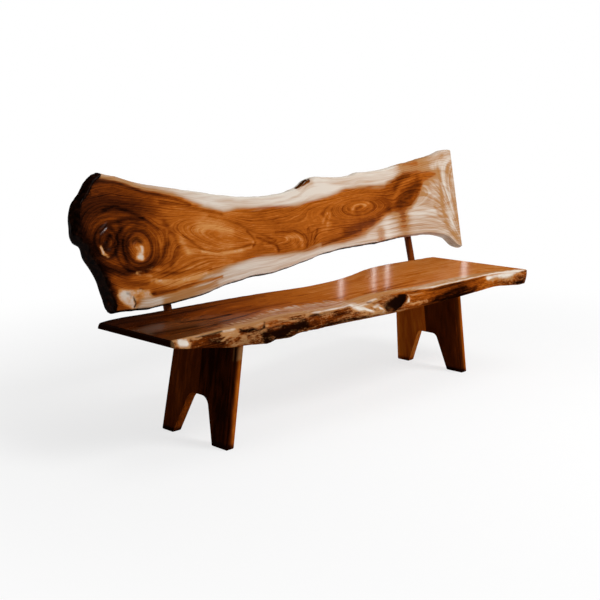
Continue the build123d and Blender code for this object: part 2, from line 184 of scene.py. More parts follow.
def through(knots, values, at):
    """Smooth line through points: cubic pieces whose slope at each inner point is that of the
    parabola through it and its neighbours, and at each end that of the straight run there."""
    slopes = np.gradient(values, knots)
    piece = np.clip(np.searchsorted(knots, at) - 1, 0, len(knots) - 2)
    width = knots[piece + 1] - knots[piece]
    t = np.clip((at - knots[piece]) / width, 0, 1)
    return (
        (1 + 2 * t) * (1 - t) ** 2 * values[piece]
        + t * (1 - t) ** 2 * width * slopes[piece]
        + t * t * (3 - 2 * t) * values[piece + 1]
        + t * t * (t - 1) * width * slopes[piece + 1]
    )


def stations(count, start, end, crowded):
    """Places from start to end that crowd together: even steps of the running total of a density of
    one plus a bell of a gain and a width at each crowded place."""
    fine = np.linspace(start, end, 6001)
    density = np.ones_like(fine)
    for place, width, gain in crowded:
        density += gain * np.exp(-(((fine - place) / width) ** 2))
    total = np.concatenate([[0], np.cumsum((density[1:] + density[:-1]) / 2)])
    return np.interp(np.linspace(0, total[-1], count), total, fine)


def read(table, x):
    """Values at places along the bench, in straight runs between a table's (place, value) rows."""
    return np.interp(x, *table.T)


def smoothstep(value, low, high):
    """Zero below low, one above high, and three t squared less two t cubed between them."""
    t = np.clip((value - low) / (high - low), 0, 1)
    return t * t * (3 - 2 * t)


def noise(points, size, seed):
    """Smooth noise from -1 to 1: random values on a cubic lattice of one size, faded by a quintic."""
    cells = 32
    values = np.random.default_rng(seed).uniform(-1, 1, (cells, cells, cells))
    place = np.asarray(points) / size
    base = np.floor(place)
    t = place - base
    t = t ** 3 * (t * (6 * t - 15) + 10)
    index = base.astype(int)
    total = 0
    for corner in itertools.product((0, 1), repeat=3):
        side = np.array(corner)
        weight = np.prod(np.where(side, t, 1 - t), axis=-1)
        cell = (index + side) % cells
        total = total + weight * values[cell[..., 0], cell[..., 1], cell[..., 2]]
    return total


def rough(points, size, seed, layers=3):
    """Layers of smooth noise, each half the size and half the height of the one before."""
    return sum(noise(points, size / 2 ** k, seed + k) / 2 ** k for k in range(layers))


def stroke(points, path, width):
    """How near points lie to a path of straight runs: e to the minus square of distance over width."""
    path = np.atleast_2d(np.asarray(path, float))
    if len(path) == 1:
        path = np.repeat(path, 2, axis=0)
    nearest = np.full(points.shape[:-1], np.inf)
    for start, end in zip(path, path[1:]):
        run = end - start
        along = np.clip((points - start) @ run / max(run @ run, 1e-9), 0, 1)
        offset = points - start - along[..., None] * run
        nearest = np.minimum(nearest, np.einsum("...i,...i", offset, offset))
    return np.exp(-nearest / width ** 2)


def box_skin(counts):
    """Numbering of the skin of a box of grid points, and its faces, all wound to face outwards."""
    skin = np.zeros(counts, bool)
    for axis in range(3):
        np.moveaxis(skin, axis, 0)[[0, -1]] = True
    number = np.full(counts, -1)
    number[skin] = np.arange(skin.sum())
    quads = []
    for axis in range(3):
        for end in (0, -1):
            sheet = np.take(number, end, axis)
            quad = np.stack([sheet[:-1, :-1], sheet[1:, :-1], sheet[1:, 1:], sheet[:-1, 1:]], -1)
            turned = (end == 0) != (axis == 1)
            quads.append(quad.reshape(-1, 4)[:, ::-1] if turned else quad.reshape(-1, 4))
    return number, np.argwhere(skin), np.concatenate(quads)


def patch_normals(sheet):
    """Unit normals of a grid of points, as the cross product of its two central differences."""
    normal = np.cross(np.gradient(sheet, axis=0), np.gradient(sheet, axis=1))
    return normal / np.maximum(np.linalg.norm(normal, axis=-1, keepdims=True), 1e-9)


def ease(first, second, radius):
    """Rounding of an arris: how far a point moves in from each face, given its distances from both.
    Within the radius it goes to the quarter circle, at 45 degrees on the arris itself."""
    near = (np.maximum(first, second) < radius) & (np.minimum(first, second) < 1e-6)
    angle = pi / 4 * (1 + (first - second) / radius)
    move_first = np.where(near, radius * (1 - np.cos(angle)) - first, 0)
    move_second = np.where(near, radius * (1 - np.sin(angle)) - second, 0)
    return move_first, move_second


def place_points(points):
    """Points in millimetres from the seat's middle, in metres in the frame."""
    return points * MM + np.array([MIDDLE_X, MIDDLE_Y, 0])


def mesh_object(name, points, faces, attributes):
    """New object at the origin from points in metres, with its float attributes and smooth faces."""
    mesh = bpy.data.meshes.new(name)
    mesh.from_pydata(points.tolist(), [], faces.tolist())
    mesh.polygons.foreach_set("use_smooth", np.ones(len(faces), bool))
    for key, values in attributes.items():
        layer = mesh.attributes.new(key, "FLOAT", "POINT")
        layer.data.foreach_set("value", np.asarray(values, np.float32))
    mesh.update()
    mesh.validate()
    piece = bpy.data.objects.new(name, mesh)
    bpy.context.scene.collection.objects.link(piece)
    return piece


# ------------------------------------------------------------------------------------------------
# Shader tools
# ------------------------------------------------------------------------------------------------


def shade(colour, factor):
    """Colour times a factor."""
    return tuple(factor * part for part in colour)


def math_method(operation):
    """Method that adds a Math node of one operation on a value and another."""
    return lambda self, other: self.math(operation, other)


class Socket:
    """A shader value that Python's operators act on: each operator adds the Math node it names."""

    def __init__(self, tree, output=None):
        self.tree = tree
        self.output = output

    def node(self, kind, settings=None, inputs=None, out=0):
        """Add a node of a kind, set its settings (a ramp's stops among them), then its inputs by
        name or number, and return one of its outputs."""
        made = self.tree.nodes.new("ShaderNode" + kind)
        for key, value in (settings or {}).items():
            if key == "stops":
                while len(made.color_ramp.elements) < len(value):
                    made.color_ramp.elements.new(1.0)
                for element, (place, colour) in zip(made.color_ramp.elements, value):
                    element.position = place
                    element.color = (*colour, 1)
            else:
                setattr(made, key, value)
        for key, value in (inputs or {}).items():
            if isinstance(value, Socket):
                self.tree.links.new(value.output, made.inputs[key])
            else:
                made.inputs[key].default_value = value
        return Socket(self.tree, made.outputs[out])

    def math(self, operation, *others):
        """Math node of an operation on this value and any others."""
        values = dict(enumerate((self, *others)))
        return self.node("Math", {"operation": operation}, values)

    __add__ = __radd__ = math_method("ADD")
    __mul__ = __rmul__ = math_method("MULTIPLY")
    __sub__ = math_method("SUBTRACT")
    __truediv__ = math_method("DIVIDE")

    def __rsub__(self, other):
        """This value taken from a number."""
        return self.node("Math", {"operation": "SUBTRACT"}, {0: other, 1: self})

    def step(self, low, high):
        """Smooth step of this value from 0 at low to 1 at high."""
        limits = {"Value": self, "From Min": low, "From Max": high}
        return self.node("MapRange", {"interpolation_type": "SMOOTHSTEP"}, limits)

    def fraction(self):
        """What this value has beyond the whole number below it."""
        return self.math("FRACT")

    def limit(self):
        """This value held between 0 and 1."""
        return self.node("Clamp", {}, {"Value": self})

    def mix(self, first, second):
        """Colour between two colours, with this value as the share of the second."""
        first, second = (one if isinstance(one, Socket) else (*one, 1) for one in (first, second))
        return self.node("Mix", {"data_type": "RGBA"}, {0: self, 6: first, 7: second}, out=2)

    def ramp(self, *stops):
        """Colour read from a ramp of (place, colour) stops."""
        return self.node("ValToRGB", {"stops": stops}, {"Fac": self})

    def noise(self, detail=2.0, roughness=0.5, scale=1.0):
        """Noise from 0 to 1 of this value: of a vector in space, or of a number along a line."""
        number = self.output.type == "VALUE"
        settings = {"noise_dimensions": "1D" if number else "3D"}
        inputs = {
            ("W" if number else "Vector"): self, "Scale": scale, "Detail": detail,
            "Roughness": roughness,
        }
        return self.node("TexNoise", settings, inputs)

    def parts(self):
        """The three parts of this vector."""
        split = self.node("SeparateXYZ", {}, {0: self})
        outputs = split.output.node.outputs
        return [Socket(self.tree, outputs[axis]) for axis in range(3)]

    def vector(self, x, y, z):
        """Vector of three values."""
        return self.node("CombineXYZ", {}, {0: x, 1: y, 2: z})

    def attribute(self, name):
        """Float attribute of the mesh."""
        return self.node("Attribute", {"attribute_name": name}, out="Fac")

    def place(self):
        """Vector of the place on the object, in millimetres from the seat's middle."""
        place = self.node("TexCoord", out="Object")
        shift = {0: place, 1: (-MIDDLE_X, -MIDDLE_Y, 0)}
        moved = self.node("VectorMath", {"operation": "ADD"}, shift)
        return moved.node("VectorMath", {"operation": "SCALE"}, {0: moved, "Scale": 1 / MM})


def new_material(name, finish):
    """New material, its Principled shader with the finish's constants set, and a socket without an
    output from which its nodes are made."""
    material = bpy.data.materials.new(name)
    material.use_nodes = True
    shader = material.node_tree.nodes["Principled BSDF"]
    for key, value in finish.items():
        shader.inputs[key].default_value = value
    return material, shader, Socket(material.node_tree)


def connect(shader, **values):
    """Link values to the Principled shader's sockets, named with underscores for spaces."""
    for key, value in values.items():
        shader.id_data.links.new(value.output, shader.inputs[key.replace("_", " ")])


def bump(start, height, distance, strength):
    """Normal of a bumpy surface, where one unit of height stands for a distance in metres."""
    return start.node("Bump", {}, {"Height": height, "Distance": distance, "Strength": strength})


def dress(node, material):
    """Give a node of the frame its material."""
    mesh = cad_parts[node].data
    mesh.materials.clear()
    mesh.materials.append(material)


def heartwood(tone, finish):
    """Heartwood colour of a tone from 0 to 1: from near black through the finish's four browns."""
    black = shade(finish.heart_dark, 0.14)
    browns = (finish.heart_dark, finish.heart_middle, finish.heart_light, finish.heart_pale)
    return tone.ramp(*zip((0.0, 0.25, 0.5, 0.75, 1.0), (black, *browns)))


def figure(rings, place):
    """Figure of sawn wood from its growth rings: late-wood lines just before each whole ring, fine
    lines between them, streaks that follow the rings along the slab, mottling and short pores."""
    x, y, z = place.parts()
    phase = (rings + 0.6 * rings.noise(scale=0.7, detail=1.0)).fraction()
    strength = (rings + 31).noise(scale=1.3, detail=0.0).step(0.3, 0.7)
    lines = phase.step(0.45, 0.9) * (1 - phase.step(0.92, 1.0)) * strength
    fine = rings.noise(scale=4.5, detail=3.0, roughness=0.6)
    streaks = rings.vector(x / 170, rings * 2.6, 0.0).noise(detail=4.0, roughness=0.6)
    mottle = rings.vector(x / 210, y / 80, z / 80).noise(detail=2.0)
    pores = rings.vector(x / 13, y / 1.4, z / 1.4).noise(detail=1.0).step(0.6, 0.75)
    return lines, fine, streaks, mottle, pores


def grain_noise(place, along, across):
    """Noise from 0 to 1 of one size along the bench and another across it."""
    x, y, z = place.parts()
    return place.vector(x / along, y / across, z / across).noise(detail=3.0, roughness=0.55)


# ------------------------------------------------------------------------------------------------
# Seat slab
# ------------------------------------------------------------------------------------------------

# Along the seat: how far back, as y, the pale haze behind the front edge reaches.
SEAT_SAP = np.array([
    (-980, -172), (-933, -170), (-795, -142), (-683, -137), (-558, -117), (-452, -86), (-377, -72),
    (-290, -87), (-209, -103), (-138, -107), (-116, -150), (-80, -170), (-20, -184), (108, -171),
    (251, -180), (394, -173), (591, -185), (759, -226), (910, -284), (980, -320),
])
# Along the seat: tone of its top, which rises to the right partly with the wood and partly as a painted
# sheen, and share of stain in its sapwood.
SEAT_TONE = np.array([
    (-980, 0.20), (-850, 0.25), (-700, 0.37), (-450, 0.54), (-200, 0.68), (60, 0.78), (350, 0.81),
    (980, 0.82),
])
SEAT_STAIN = np.array([(-980, 0.8), (-620, 0.7), (-400, 0.35), (-100, 0.1), (80, 0.5), (980, 0.7)])
# Width of the tan strip behind the front arris, and strength of the pale haze beyond it.
SEAT_STRIP = np.array([
    (-980, 8), (-860, 8), (-760, 22), (-300, 30), (0, 26), (233, 20), (444, 45), (600, 45), (760, 28),
    (980, 10),
])
SEAT_HAZE = np.array([
    (-760, 0.0), (-690, 0.55), (-560, 0.8), (-250, 0.75), (-80, 0.95), (60, 0.85), (200, 0.0),
])
# Painted features, each a path of (x, y, z), a width and a strength.
SEAT_DARK = (
    ([(-903, 63, 450), (-856, 66, 450), (-790, 50, 450)], 9, 0.4),
    ([(-760, 0, 450), (-738, -5, 450), (-654, -30, 450), (-556, -29, 450)], 8, 0.6),
    ([(-940, -60, 450), (-860, -75, 450), (-760, -85, 450)], 9, 0.4),
    ([(-900, -110, 450), (-800, -118, 450), (-700, -120, 450)], 7, 0.4),
    ([(-900, 140, 450), (-700, 120, 450), (-500, 118, 450)], 22, 0.2),
    ([(-480, -40, 450), (-380, -34, 450), (-250, -42, 450)], 8, 0.35),
    ([(-700, -110, 450), (-560, -92, 450), (-440, -70, 450)], 6, 0.35),
    ([(60, -150, 450), (240, -135, 450), (420, -120, 450)], 9, 0.5),
    ([(260, -30, 450), (430, -10, 450), (560, -30, 450)], 9, 0.3),
    ([(-858, -201, 447), (-804, -203, 448), (-745, -204, 449)], 4, 1.0),
    ([(-808, -214, 430), (-770, -218, 422)], 10, 0.6),
    ([(-420, -225, 441), (-370, -238, 436)], 7, 0.5),
    ([(-300, -242, 437), (-215, -250, 438)], 6, 0.4),
    ([(-200, -246, 443), (-130, -244, 444)], 5, 0.5),
    ([(-662, -222, 441), (-620, -234, 438)], 11, 1.0),
    (
        [(-668, -215, 444), (-683, -230, 434), (-662, -240, 424), (-630, -255, 430), (-575, -238, 441)],
        5, 0.5,
    ),
    ([(-545, -206, 449), (-590, -250, 436), (-640, -248, 412)], 4, 0.8),
    ([(-575, -255, 436), (-530, -245, 438), (-490, -250, 435)], 8, 0.8),
    (
        [(-600, -270, 420), (-560, -266, 420), (-490, -268, 422), (-430, -258, 420), (-385, -248, 418)],
        16, 1.3,
    ),
    ([(-600, -275, 398), (-508, -264, 398), (-420, -255, 404)], 14, 1.2),
    ([(-482, -222, 444), (-415, -236, 440), (-366, -240, 436)], 3, 0.6),
    ([(-445, -203, 449), (-377, -219, 446)], 2.5, 0.4),
    ([(-300, -247, 398), (-180, -258, 395), (-60, -276, 393)], 7, 0.75),
    ([(-350, -236, 441), (-300, -238, 441)], 7, 0.6),
    ([(-230, -255, 425), (-150, -262, 428)], 9, 0.4),
    ([(-20, -238, 443), (4, -236, 443)], 6, 1.0),
    ([(-24, -280, 418), (-15, -284, 408)], 5, 0.8),
    ([(0, -258, 436), (34, -264, 433)], 9, 0.5),
    ([(35, -286, 414), (65, -274, 428), (110, -262, 436), (150, -252, 441)], 15, 1.1),
    ([(50, -290, 406), (85, -292, 400)], 8, 0.8),
    ([(78, -291, 411), (105, -284, 422), (140, -268, 433), (185, -247, 443)], 15, 2.6),
    (
        [
            (-480, -192, 450), (-403, -197, 450), (-288, -229, 450), (-173, -245, 450),
            (-60, -212, 450), (40, -196, 450),
        ],
        3, 0.6,
    ),
    ([(225, -232, 447), (250, -240, 447), (274, -243, 446)], 4, 1.2),
    ([(310, -296, 404), (390, -294, 414), (460, -290, 422), (560, -286, 424)], 9, 0.6),
    ([(330, -296, 400), (400, -295, 402), (498, -293, 408), (632, -284, 410)], 8, 0.5),
    ([(-150, -130, 450), (60, -110, 450), (300, -90, 450)], 6, 0.35),
    ([(110, -172, 450), (250, -162, 450), (360, -165, 450)], 7, 0.6),
    ([(380, -294, 392), (500, -291, 392), (620, -284, 394)], 12, 0.6),
    ([(520, -275, 440), (600, -278, 437)], 5, 0.35),
    ([(790, -276, 404), (860, -290, 400)], 7, 0.3),
    ([(900, -322, 422), (930, -328, 412)], 12, 0.5),
    ([(880, -318, 396), (945, -332, 394)], 9, 1.2),
)
SEAT_PALE = (
    ([(-928, -205, 441), (-908, -207, 437)], 15, 1.9),
    ([(-870, -203, 446), (-838, -205, 445)], 6, 0.8),
    ([(-740, -208, 446), (-690, -206, 447)], 9, 0.5),
    ([(-750, -215, 438), (-700, -218, 440)], 14, 0.5),
    ([(-761, -220, 418), (-700, -222, 440)], 4, 0.5),
    ([(-743, -220, 408), (-683, -227, 434)], 4, 0.5),
    ([(-716, -220, 396), (-676, -234, 420)], 4, 0.5),
    ([(-605, -222, 445), (-560, -212, 447)], 8, 0.4),
    ([(-672, -235, 413)], 11, 0.6),
    ([(-708, -222, 396), (-650, -242, 404), (-600, -258, 432), (-550, -225, 442)], 9, 0.4),
    ([(-478, -210, 447), (-419, -219, 447), (-357, -233, 444)], 6, 0.5),
    ([(-470, -225, 443), (-400, -236, 440)], 7, 0.4),
    ([(-347, -230, 443)], 9, 0.5),
    ([(-340, -228, 447), (-188, -248, 448), (-110, -240, 448)], 6, 0.6),
    ([(-300, -240, 440), (-240, -250, 436)], 9, 0.35),
    ([(-115, -247, 441), (-70, -245, 441), (-20, -237, 443)], 15, 0.85),
    ([(-100, -262, 432), (-70, -268, 428)], 12, 0.9),
    ([(0, -232, 443), (45, -226, 444)], 10, 1.3),
    ([(-15, -270, 426), (15, -262, 430)], 9, 0.9),
    ([(-30, -280, 412), (20, -286, 402)], 8, 0.8),
    ([(-62, -276, 424), (-42, -280, 412)], 7, 1.3),
    ([(2, -282, 421), (14, -288, 408)], 7, 1.3),
    ([(-40, -285, 405), (10, -288, 403)], 4, 0.8),
    ([(212, -247, 444), (196, -272, 435), (165, -290, 420), (135, -294, 410), (105, -290, 398)], 5, 1.5),
    ([(125, -295, 402), (169, -296, 410), (232, -297, 410), (271, -297, 408)], 6, 1.6),
    ([(271, -297, 408), (320, -296, 408)], 6, 0.8),
    ([(222, -258, 441), (290, -272, 440)], 9, 0.55),
    ([(660, -275, 438), (760, -276, 438)], 8, 0.4),
    ([(744, -273, 434)], 9, 0.6),
    ([(776, -274, 418)], 8, 0.5),
    ([(740, -273, 436), (800, -277, 440), (867, -290, 440), (915, -304, 442)], 12, 1.5),
    ([(820, -282, 428), (880, -296, 424)], 12, 0.7),
    ([(893, -298, 449), (940, -318, 449)], 8, 0.5),
    ([(-620, -150, 450), (-480, -120, 450), (-330, -100, 450), (-170, -120, 450)], 22, 0.25),
)
# How much more or less cream wood the front edge shows along it.
SEAT_CREAM = np.array([
    (-980, 0.0), (-900, -0.1), (-860, -0.25), (-745, -0.2), (-710, 0.0), (-400, -0.1), (-200, -0.1),
    (-130, 0.1), (60, 0.1), (120, 0.0), (210, -0.3), (320, -0.34), (640, -0.34), (760, -0.2),
    (850, 0.0), (980, -0.15),
])
# Tone of the front edge along it: near the top, and near the underside.
SEAT_EDGE_TONE = np.array([
    (-980, 0.45, 0.35), (-880, 0.38, 0.22), (-745, 0.38, 0.25), (-715, 0.62, 0.45), (-640, 0.45, 0.42),
    (-560, 0.62, 0.40), (-430, 0.45, 0.30), (-200, 0.48, 0.38), (0, 0.50, 0.45), (200, 0.62, 0.52),
    (300, 0.70, 0.42), (400, 0.50, 0.30), (520, 0.42, 0.32), (640, 0.60, 0.60), (760, 0.72, 0.70),
    (880, 0.66, 0.58), (940, 0.52, 0.42), (980, 0.40, 0.35),
])
# Strength of the painted highlight along the front arris, and of the painted shade line just under it.
SEAT_ARRIS_HIGHLIGHT_AND_SHADE = np.array([
    (-980, 0.3), (-500, 0.3), (-100, 0.6), (120, 0.7), (215, 0.2), (290, 0.8), (340, 1.6), (900, 1.6),
    (980, 0.6),
])
# Relief of the front edge: a path, a width and a height in millimetres, negative for a hollow.
SEAT_RELIEF = (
    ([(95, -287, 417), (165, -258, 438)], 17, -30),
    ([(212, -247, 444), (196, -272, 435), (165, -290, 420), (135, -294, 410)], 7, 4),
    ([(-645, -228, 442)], 14, -6),
    ([(-690, -228, 425), (-655, -242, 412), (-600, -258, 432), (-560, -235, 441)], 12, 4),
    ([(225, -232, 447), (274, -243, 446)], 6, -5),
    ([(-570, -268, 415), (-470, -262, 410), (-390, -250, 402)], 20, -8),
    ([(-24, -280, 418), (-15, -284, 408)], 6, -5),
    ([(2, -282, 421), (14, -288, 408)], 7, 3),
    ([(-850, -200, 448), (-760, -204, 448)], 5, -3),
    ([(-910, -205, 440)], 22, 2),
)
# A rougher place low on the front edge, as a path and a width.
SEAT_ROUGH_PLACE = ([(-600, -268, 405), (-310, -245, 395)], 30)
SEAT_END_FADE = 12


def parabola(at, levels, values):
    """Value at a level of the parabola that has three values at three levels."""
    total = 0
    for one in range(3):
        two, three = (one + 1) % 3, (one + 2) % 3
        share = (at - levels[two]) * (at - levels[three])
        total = total + values[one] * share / (
            (levels[one] - levels[two]) * (levels[one] - levels[three])
        )
    return total


def seat_edges(x, z):
    """Depths of the seat's front and rear edge: at each place along it, parabolas up the thickness
    through the underside, the widest line and the top arris."""
    share = x / SEAT_LENGTH
    ripple = 2.5 * noise(np.stack([x, 0 * x, 0 * x], -1), 38, 5)
    arris = through(SEAT_FRONT[:, 0], SEAT_FRONT[:, 1], share) + ripple
    widest = through(SEAT_FRONT[:, 0], SEAT_FRONT[:, 2], share) - np.abs(ripple)
    rear = through(SEAT_REAR[:, 0], SEAT_REAR[:, 1], share) - np.abs(ripple)
    levels = (SEAT_UNDER, SEAT_WIDEST, SEAT_TOP)
    front = parabola(z, levels, (widest - SEAT_UNDER_INSET, widest, arris))
    back = parabola(z, levels, (rear - SEAT_UNDER_INSET, rear + SEAT_REAR_BULGE, rear))
    return -SEAT_HALF_DEPTH - front, SEAT_HALF_DEPTH + back


def post_notches(points):
    """Push points out of the notches that the posts stand in: forward to the front of a raked round
    bar, whose level section is an ellipse."""
    radius = POST_RADIUS + POST_FIT
    axis = POST_AXIS_Y + (points[:, 2] - SEAT_TOP) * tan(RAKE)
    for post in POST_X:
        aside = np.abs(points[:, 0] - post) / radius
        front = axis - np.sqrt(np.clip(1 - aside ** 2, 0, 1)) * radius / cos(RAKE)
        inside = (aside < 1) & (points[:, 1] > front)
        points[:, 1] = np.where(inside, front, points[:, 1])
    return points


def painted(points, features):
    """Sum of strokes on the points, each with its path, width and strength."""
    return sum(strength * stroke(points, path, width) for path, width, strength in features)


def fade_at_ends(sheet):
    """Zero at the seat's two ends, rising smoothly to one SEAT_END_FADE from them."""
    return smoothstep(SEAT_LENGTH / 2 - np.abs(sheet[..., 0]), 0, SEAT_END_FADE)


def wear_front(points, edge):
    """Push the front edge's points in and out by noise, with a rougher place under its left half,
    and by the strokes of SEAT_RELIEF. The wear is slighter near the top and fades out at the ends."""
    sheet = points[edge]
    depth = bpy.context.scene.bench_edges.relief / MM
    stretched = sheet * (0.35, 1, 1)
    relief = depth * (0.55 * rough(stretched, 22, 11) - 0.35)
    path, width = SEAT_ROUGH_PLACE
    relief += 0.5 * depth * stroke(sheet, path, width) * rough(sheet, 11, 17)
    relief += painted(sheet, SEAT_RELIEF)
    rows_below_top = np.arange(edge.shape[1])[::-1]
    fade = 0.25 + 0.75 * smoothstep(rows_below_top, 0, 5)
    points[edge] = sheet + (relief * fade * fade_at_ends(sheet))[..., None] * patch_normals(sheet)


def wear_rear(points, edge):
    """Pull the rear edge's points in by noise that fades out at the ends."""
    sheet = points[edge]
    relief = -np.abs(1.6 * rough(sheet * (0.3, 1, 1), 24, 31)) * fade_at_ends(sheet)
    points[edge] = sheet - relief[..., None] * patch_normals(sheet)


def seat_points(number, cells):
    """Points of the seat's skin: between the front and rear edge by the share across and between the
    underside and the top by the share up, then with eased arrises, worn edges and notches. Also the
    points before the wear, and their shares across."""
    half = SEAT_LENGTH / 2
    crowded = [(post, 22, 2.2) for post in POST_X] + [(-half, 8, 3), (half, 8, 3), (110, 90, 0.5)]
    x = stations(number.shape[0], -half, half, crowded)[cells[:, 0]]
    across = stations(number.shape[1], 0, 1, [(0, 0.05, 3), (1, 0.03, 3)])[cells[:, 1]]
    up = stations(number.shape[2], 0, 1, [(1, 0.25, 1.2), (0, 0.03, 1)])[cells[:, 2]]
    bevel = np.clip(1 - (x + half) / SEAT_BEVEL, 0, 1)
    under = SEAT_UNDER + bevel * (SEAT_TOP - SEAT_END_THICKNESS - SEAT_UNDER)
    z = under + up * (SEAT_TOP - under)
    front, rear = seat_edges(x, z)
    y = front + across * (rear - front)
    top_front, top_rear = seat_edges(x, np.full_like(x, SEAT_TOP))
    arris = bpy.context.scene.bench_edges.arris_radius / MM
    inside = np.maximum(y - top_front, 0)
    below = SEAT_TOP - z
    shift_y, drop = ease(inside, below, arris)
    y, z = y + shift_y, z - drop
    behind = np.maximum(top_rear - y, 0)
    shift_y, drop = ease(behind, below, arris)
    y, z = y - shift_y, z - drop
    for side in (-1, 1):
        shift_x, drop = ease(half - side * x, below, arris)
        x, z = x - side * shift_x, z - drop
    points = np.stack([x, y, z], -1)
    plain = points.copy()
    wear_front(points, number[:, 0, :])
    wear_rear(points, number[:, -1, :])
    points[:, 2] = np.clip(points[:, 2], SEAT_UNDER, SEAT_TOP)
    return post_notches(points), plain, across


def seat_material(finish):
    """Glossy streaked top that lightens to the right, partly with its wood and partly by a painted sheen,
    with a tan strip behind the front arris and a painted highlight along it, and a brown, stained front
    edge with cream patches, dark hollows and bark."""
    material, shader, start = new_material("seat_varnished_wood", {
        "Coat Roughness": finish.coat_roughness, "Specular IOR Level": finish.gloss,
    })
    place = start.place()
    x, y, z = place.parts()
    lines, fine, streaks, mottle, pores = figure(start.attribute("rings"), place)
    dark, pale = start.attribute("dark"), start.attribute("pale")
    edge = start.attribute("edge")
    cloud = grain_noise(place, 90, 20)
    fibre = grain_noise(place, 150, 5)
    grit = grain_noise(place, 24, 8)
    thin = grain_noise(place, 50, 2.4)
    flake = grain_noise(place, 9, 6)
    tone = start.attribute("tone") + 0.2 * (mottle - 0.5) + 0.35 * (fine - 0.5) + 0.45 * (streaks - 0.5)
    tone = tone - 0.12 * lines - 0.06 * pores
    coarse = 0.4 * (cloud - 0.5) + 0.35 * (grit - 0.5)
    tone = tone + edge * (coarse + 0.6 * (fibre - 0.5) + 0.5 * (thin - 0.5))
    tone = tone - (0.4 + 0.3 * grit) * dark + 0.2 * pale
    heart = heartwood(tone.limit(), finish)
    comb = start.vector(x / 14, y / 80, 0.0).noise(detail=3.0, roughness=0.65)
    teeth = (start.attribute("reach") + 150 * (comb - 0.5)).step(-2, 34)
    strip = start.attribute("sap") * (1 + 0.8 * (fine - 0.5) + 0.5 * (cloud - 0.5))
    haze = start.attribute("haze")
    strip = (strip + haze * teeth * (1 + 2 * (comb - 0.5))) * (1 - edge)
    bare = 0.3 + 1.1 * pale + 0.9 * (grit - 0.5) + 0.9 * (cloud - 0.5) + 0.9 * (fibre - 0.5)
    cream = edge * (bare + flake - 0.5).step(0.15, 0.8)
    stain = start.attribute("stain") + 0.4 * lines + 0.9 * (grit - 0.5) + 0.6 * (fibre - 0.5)
    stain = stain + 0.7 * edge * (thin - 0.5) + 0.6 * edge - 1.3 * pale
    stain = stain + (1 - edge) * (0.7 * (1 - teeth) - 2.5 * haze * (comb - 0.5))
    sapwood = stain.limit().mix(finish.sapwood, finish.sap_stain)
    colour = ((strip + cream) * (1 - 0.9 * dark).limit()).limit().mix(heart, sapwood)
    hollow = shade(finish.bark, 0.25)
    colour = (dark + 0.6 * (grit - 0.5)).step(0.95, 1.6).mix(colour, hollow)
    connect(
        shader,
        Base_Color=colour,
        Roughness=0.34 + 0.14 * streaks + 0.25 * (dark * edge).limit(),
        Coat_Weight=finish.coat * (1 - (1.4 * dark).limit()) * z.step(SEAT_TOP - 8, SEAT_TOP - 2),
        Normal=bump(start, streaks * 0.5 - pores * 0.3 + edge * (cloud + grit), 0.001, 0.25),
    )
    return material


